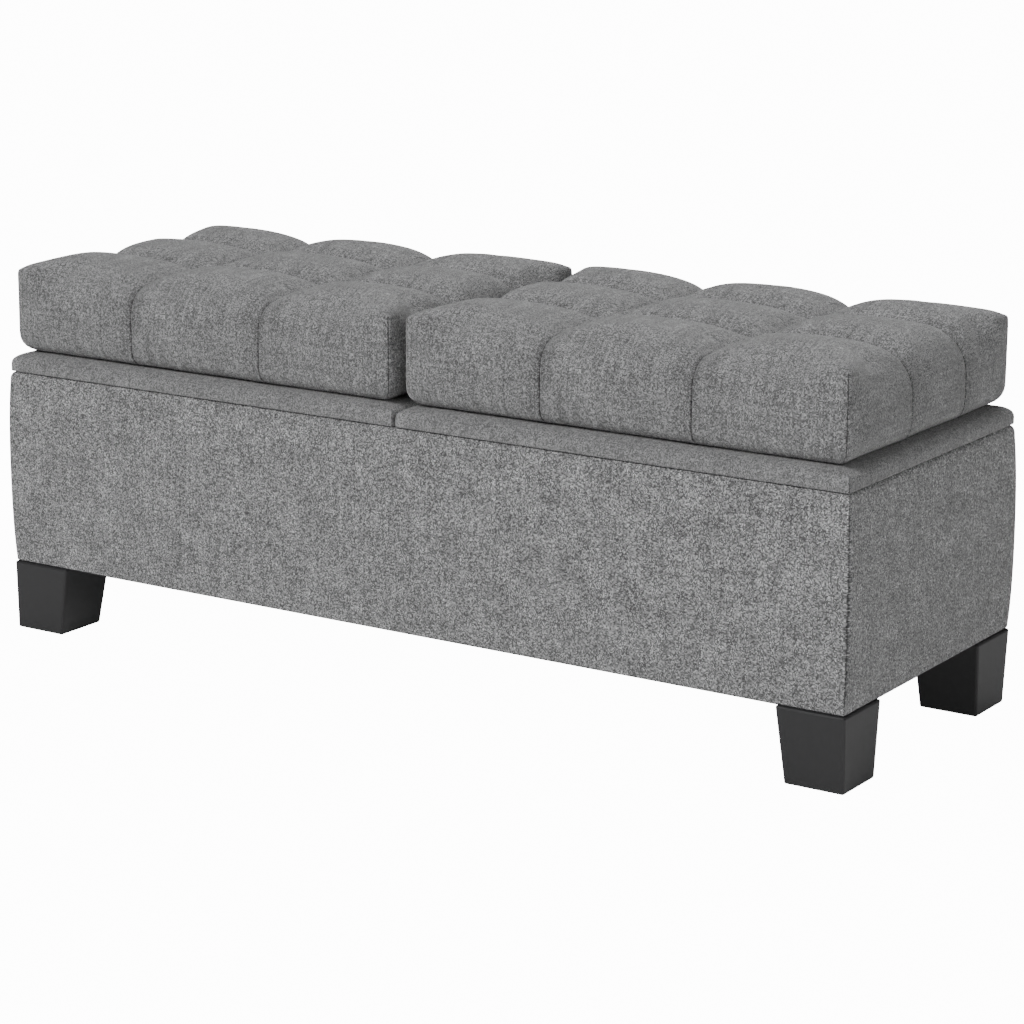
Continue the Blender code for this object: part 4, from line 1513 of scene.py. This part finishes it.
# %% The lid felts and the dust cloth
lid_cloth_low = (lid_low.x + LID_FELT_IN, lid_low.y + LID_FELT_IN, lid_low.z)
lid_cloth_high = (lid_high.x - LID_FELT_IN, lid_high.y - LID_FELT_IN, lid_low.z + LID_FELT)
right_ceiling = make_flat_cloth("right_lid_felt", lid_cloth_low, lid_cloth_high)
right_ceiling.data.materials.append(lining_felt)
left_ceiling = copy_of(right_ceiling, "left_lid_felt", (shift_left, 0, 0))
dust_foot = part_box("underside_cloth")[0].z - DUST_DOWN
dust_low = (DUST_IN - half_width, DUST_IN - half_depth, dust_foot)
dust_high = (half_width - DUST_IN, half_depth - DUST_IN, dust_foot + DUST_CLOTH)
bolts = [sum(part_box(name), Vector()) / 2 for name in frame["nodes"] if name.endswith("leg_bolt")]
dust = make_flat_cloth("dust_cloth", dust_low, dust_high, bolts)
dust.data.materials.append(lining_felt)
for side_name, piece in (("right", right_ceiling), ("left", left_ceiling)):
    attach(piece, side_name + "_lid")
    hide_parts(side_name + "_lid_lining")
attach(dust, "body")
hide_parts("underside_cloth")
print("flat cloths ready,", len(bolts), "bolt holes")

# %% [markdown]
# ## Small fixings
# A screw head is a short cylinder with a cross sunk into it, and a staple is a bar with its
# ends bent down. Each is modelled once. Then copies are turned to their places and joined into
# one piece for each part of the bench that they belong to.

# %% Models of a screw and a staple
CROSS_BLADE = 0.17          # half the width of the cross, as a share of the head's radius
CROSS_REACH = 0.62          # and its reach
CROSS_DEEP = 0.8            # its depth, as a share of the head's height
STAPLE_LENGTH = 0.010
STAPLE_WIRE = 0.0007
STAPLE_PROUD = 0.00016
STAPLE_BEND = 0.0006        # the length of the bent-down end


def make_screw(name, radius, proud):
    """A flat screw head that faces up, with its seat at the origin."""
    bpy.ops.object.select_all(action="DESELECT")
    bpy.ops.mesh.primitive_cylinder_add(
        radius=radius, depth=proud, vertices=20, location=(0, 0, proud / 2))
    bpy.ops.object.transform_apply(location=True, rotation=True, scale=True)
    screw = bpy.context.object
    screw.name = name
    edit(screw)
    blade = CROSS_BLADE * radius
    reach = CROSS_REACH * radius
    for axis in (0, 1):
        slice_at(axis, (-reach, -blade, blade, reach))

    def in_cross(centre, normal):
        near, far = sorted((abs(centre.x), abs(centre.y)))
        return normal.z > 0.5 and near < blade and far < reach

    pick_faces(screw, in_cross)
    bpy.ops.mesh.extrude_region_move(
        TRANSFORM_OT_translate={"value": (0, 0, -CROSS_DEEP * proud)})

    def on_rim(point):
        return point.z > 0.9 * proud and point.xy.length > 0.97 * radius

    pick_edges(screw, lambda a, b: on_rim(a) and on_rim(b))
    bpy.ops.mesh.bevel(offset=0.5 * proud, segments=2, affect="EDGES")
    done()
    return screw


def make_staple():
    """A staple's crown that faces up."""
    half = STAPLE_LENGTH / 2
    wire = STAPLE_WIRE / 2
    staple = start("staple_model", (-half, -wire, 0), (half, wire, STAPLE_PROUD))
    edit(staple)
    slice_at(0, (STAPLE_BEND - half, half - STAPLE_BEND))
    pick_faces(staple, lambda centre, normal: abs(normal.x) > 0.9)
    bpy.ops.transform.translate(value=(0, 0, -STAPLE_PROUD / 2))
    pick_edges(staple, lambda a, b: min(a.z, b.z) > STAPLE_PROUD * 0.9 and abs(a.y - b.y) < 1e-6)
    bpy.ops.mesh.bevel(offset=STAPLE_PROUD / 3, segments=1, affect="EDGES")
    done()
    return staple


def repeat(model, name, places):
    """Copies of a small piece, each turned and moved to its place, joined as one piece."""
    twins = []
    for point, turn in places:
        twin = copy_of(model, name)
        twin.data.transform(Matrix.Translation(point) @ Euler(turn).to_matrix().to_4x4())
        twins.append(twin)
    only(twins[0])
    for twin in twins:
        twin.select_set(True)
    bpy.ops.object.join()
    twins[0].name = name
    return twins[0]


# %% [markdown]
# ### Screws in the hinges and the stays
# A hinge leaf has three screws, the middle one further from the pin. A stay's stud plate and
# its bracket have two each. Every place is worked out from the frame's own pieces, so the
# screws follow when a hinge is moved.

# %% Screws in the hinges and the stays
UP = (0, 0, 0)
DOWN = (math.pi, 0, 0)
LEAF_SCREW = 0.0024         # radius of the head
LEAF_PROUD = 0.00012
LEAF_FACE = 0.0002          # the leaf's face, from the height of the pin
LEAF_PLACES = ((0.16, 0.006), (0.5, 0.010), (0.84, 0.006))   # share along the leaf, distance in
PLATE_SCREW = 0.0019
PLATE_PROUD = 0.0005
PLATE_PLACES = (0.003, 0.015)       # along the diagonal of the stud's plate
PLATE_BACK = 0.0015                 # the plate's thickness
FOOT_ACROSS = 0.004                 # the bracket screws, from its upright
FOOT_ALONG = 0.006                  # and from its two ends

leaf_screw = make_screw("leaf_screw_model", LEAF_SCREW, LEAF_PROUD)
plate_screw = make_screw("plate_screw_model", PLATE_SCREW, PLATE_PROUD)
body_places = []
stud_places = []
lid_places = {"left": [], "right": []}
foot_places = {"left": [], "right": []}
for side_name, side in (("left", -1), ("right", 1)):
    for place_name in ("inner", "outer"):
        hinge = f"{side_name}_{place_name}_hinge_"
        leaf_low, leaf_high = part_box(hinge + "lower_leaf")
        pin_height = sum(corner.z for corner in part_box(hinge + "pin")) / 2
        for share, step_in in LEAF_PLACES:
            spot_x = leaf_low.x + (leaf_high.x - leaf_low.x) * share
            spot_y = leaf_low.y + step_in
            body_places.append(((spot_x, spot_y, pin_height - LEAF_FACE), UP))
            lid_places[side_name].append(((spot_x, spot_y, pin_height + LEAF_FACE), DOWN))
    plate_low, plate_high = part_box(side_name + "_stay_stud")
    plate_face = side * (max(abs(plate_low.x), abs(plate_high.x)) - PLATE_BACK)
    for step in PLATE_PLACES:
        spot = (plate_face, plate_low.y + step, plate_low.z + step)
        stud_places.append((spot, (0, -side * math.pi / 2, 0)))
    foot_low, foot_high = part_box(side_name + "_stay_bracket")
    foot_x = side * (min(abs(foot_low.x), abs(foot_high.x)) + FOOT_ACROSS)
    for spot_y in (foot_low.y + FOOT_ALONG, foot_high.y - FOOT_ALONG):
        foot_places[side_name].append(((foot_x, spot_y, foot_high.z - PLATE_BACK), DOWN))

fixings = [(repeat(leaf_screw, "body_hinge_screws", body_places), "body"),
           (repeat(plate_screw, "stay_stud_screws", stud_places), "body")]
for side_name, places in lid_places.items():
    lid_body = side_name + "_lid"
    fixings.append((repeat(leaf_screw, side_name + "_hinge_screws", places), lid_body))
    places = foot_places[side_name]
    fixings.append((repeat(plate_screw, side_name + "_bracket_screws", places), lid_body))
print("screws", sum(len(piece.data.polygons) for piece, body in fixings), "faces in all")

# %% [markdown]
# ### Staples along the hems
# An upholsterer sets the staples a few centimetres apart along the middle of each hem, with
# their crowns along it, and leaves out those that a leg would cover.

# %% Staples along the hems
STAPLE_GAP = 0.042
LEG_ROOM = 0.006            # staples keep this far from a leg
staple = make_staple()


def hem_places(low, high, skip=lambda x, y: False):
    """Places for staples along the middle of a hem, facing down."""
    inner_low = Vector(low) + Vector((HEM / 2, HEM / 2, 0))
    inner_high = Vector(high) - Vector((HEM / 2, HEM / 2, 0))
    found = []
    for x in divide_between([inner_low.x, inner_high.x], STAPLE_GAP):
        for y in (inner_low.y, inner_high.y):
            found.append((Vector((x, y, low[2])), DOWN))
    for y in divide_between([inner_low.y, inner_high.y], STAPLE_GAP):
        for x in (inner_low.x, inner_high.x):
            found.append((Vector((x, y, low[2])), (math.pi, 0, math.pi / 2)))
    return [item for item in found if not skip(item[0].x, item[0].y)]


def over_leg(x, y):
    """Whether a place lies over one of the four legs."""
    leg_low, leg_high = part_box("front_right_leg")
    return abs(x) > leg_low.x - LEG_ROOM and abs(y) > -leg_high.y - LEG_ROOM


lid_staples = hem_places(lid_cloth_low, lid_cloth_high)
moved_staples = [(spot + Vector((shift_left, 0, 0)), turn) for spot, turn in lid_staples]
dust_staples = hem_places(dust_low, dust_high, over_leg)
fixings.append((repeat(staple, "right_lid_staples", lid_staples), "right_lid"))
fixings.append((repeat(staple, "left_lid_staples", moved_staples), "left_lid"))
fixings.append((repeat(staple, "dust_cloth_staples", dust_staples), "body"))
for model in (leaf_screw, plate_screw, staple):
    bpy.data.objects.remove(model)
for piece, body in fixings:
    smooth(piece, 30)
    piece.data.materials.append(zinc_steel)
    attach(piece, body)
print("fixings", [(piece.name, len(piece.data.polygons)) for piece, body in fixings])
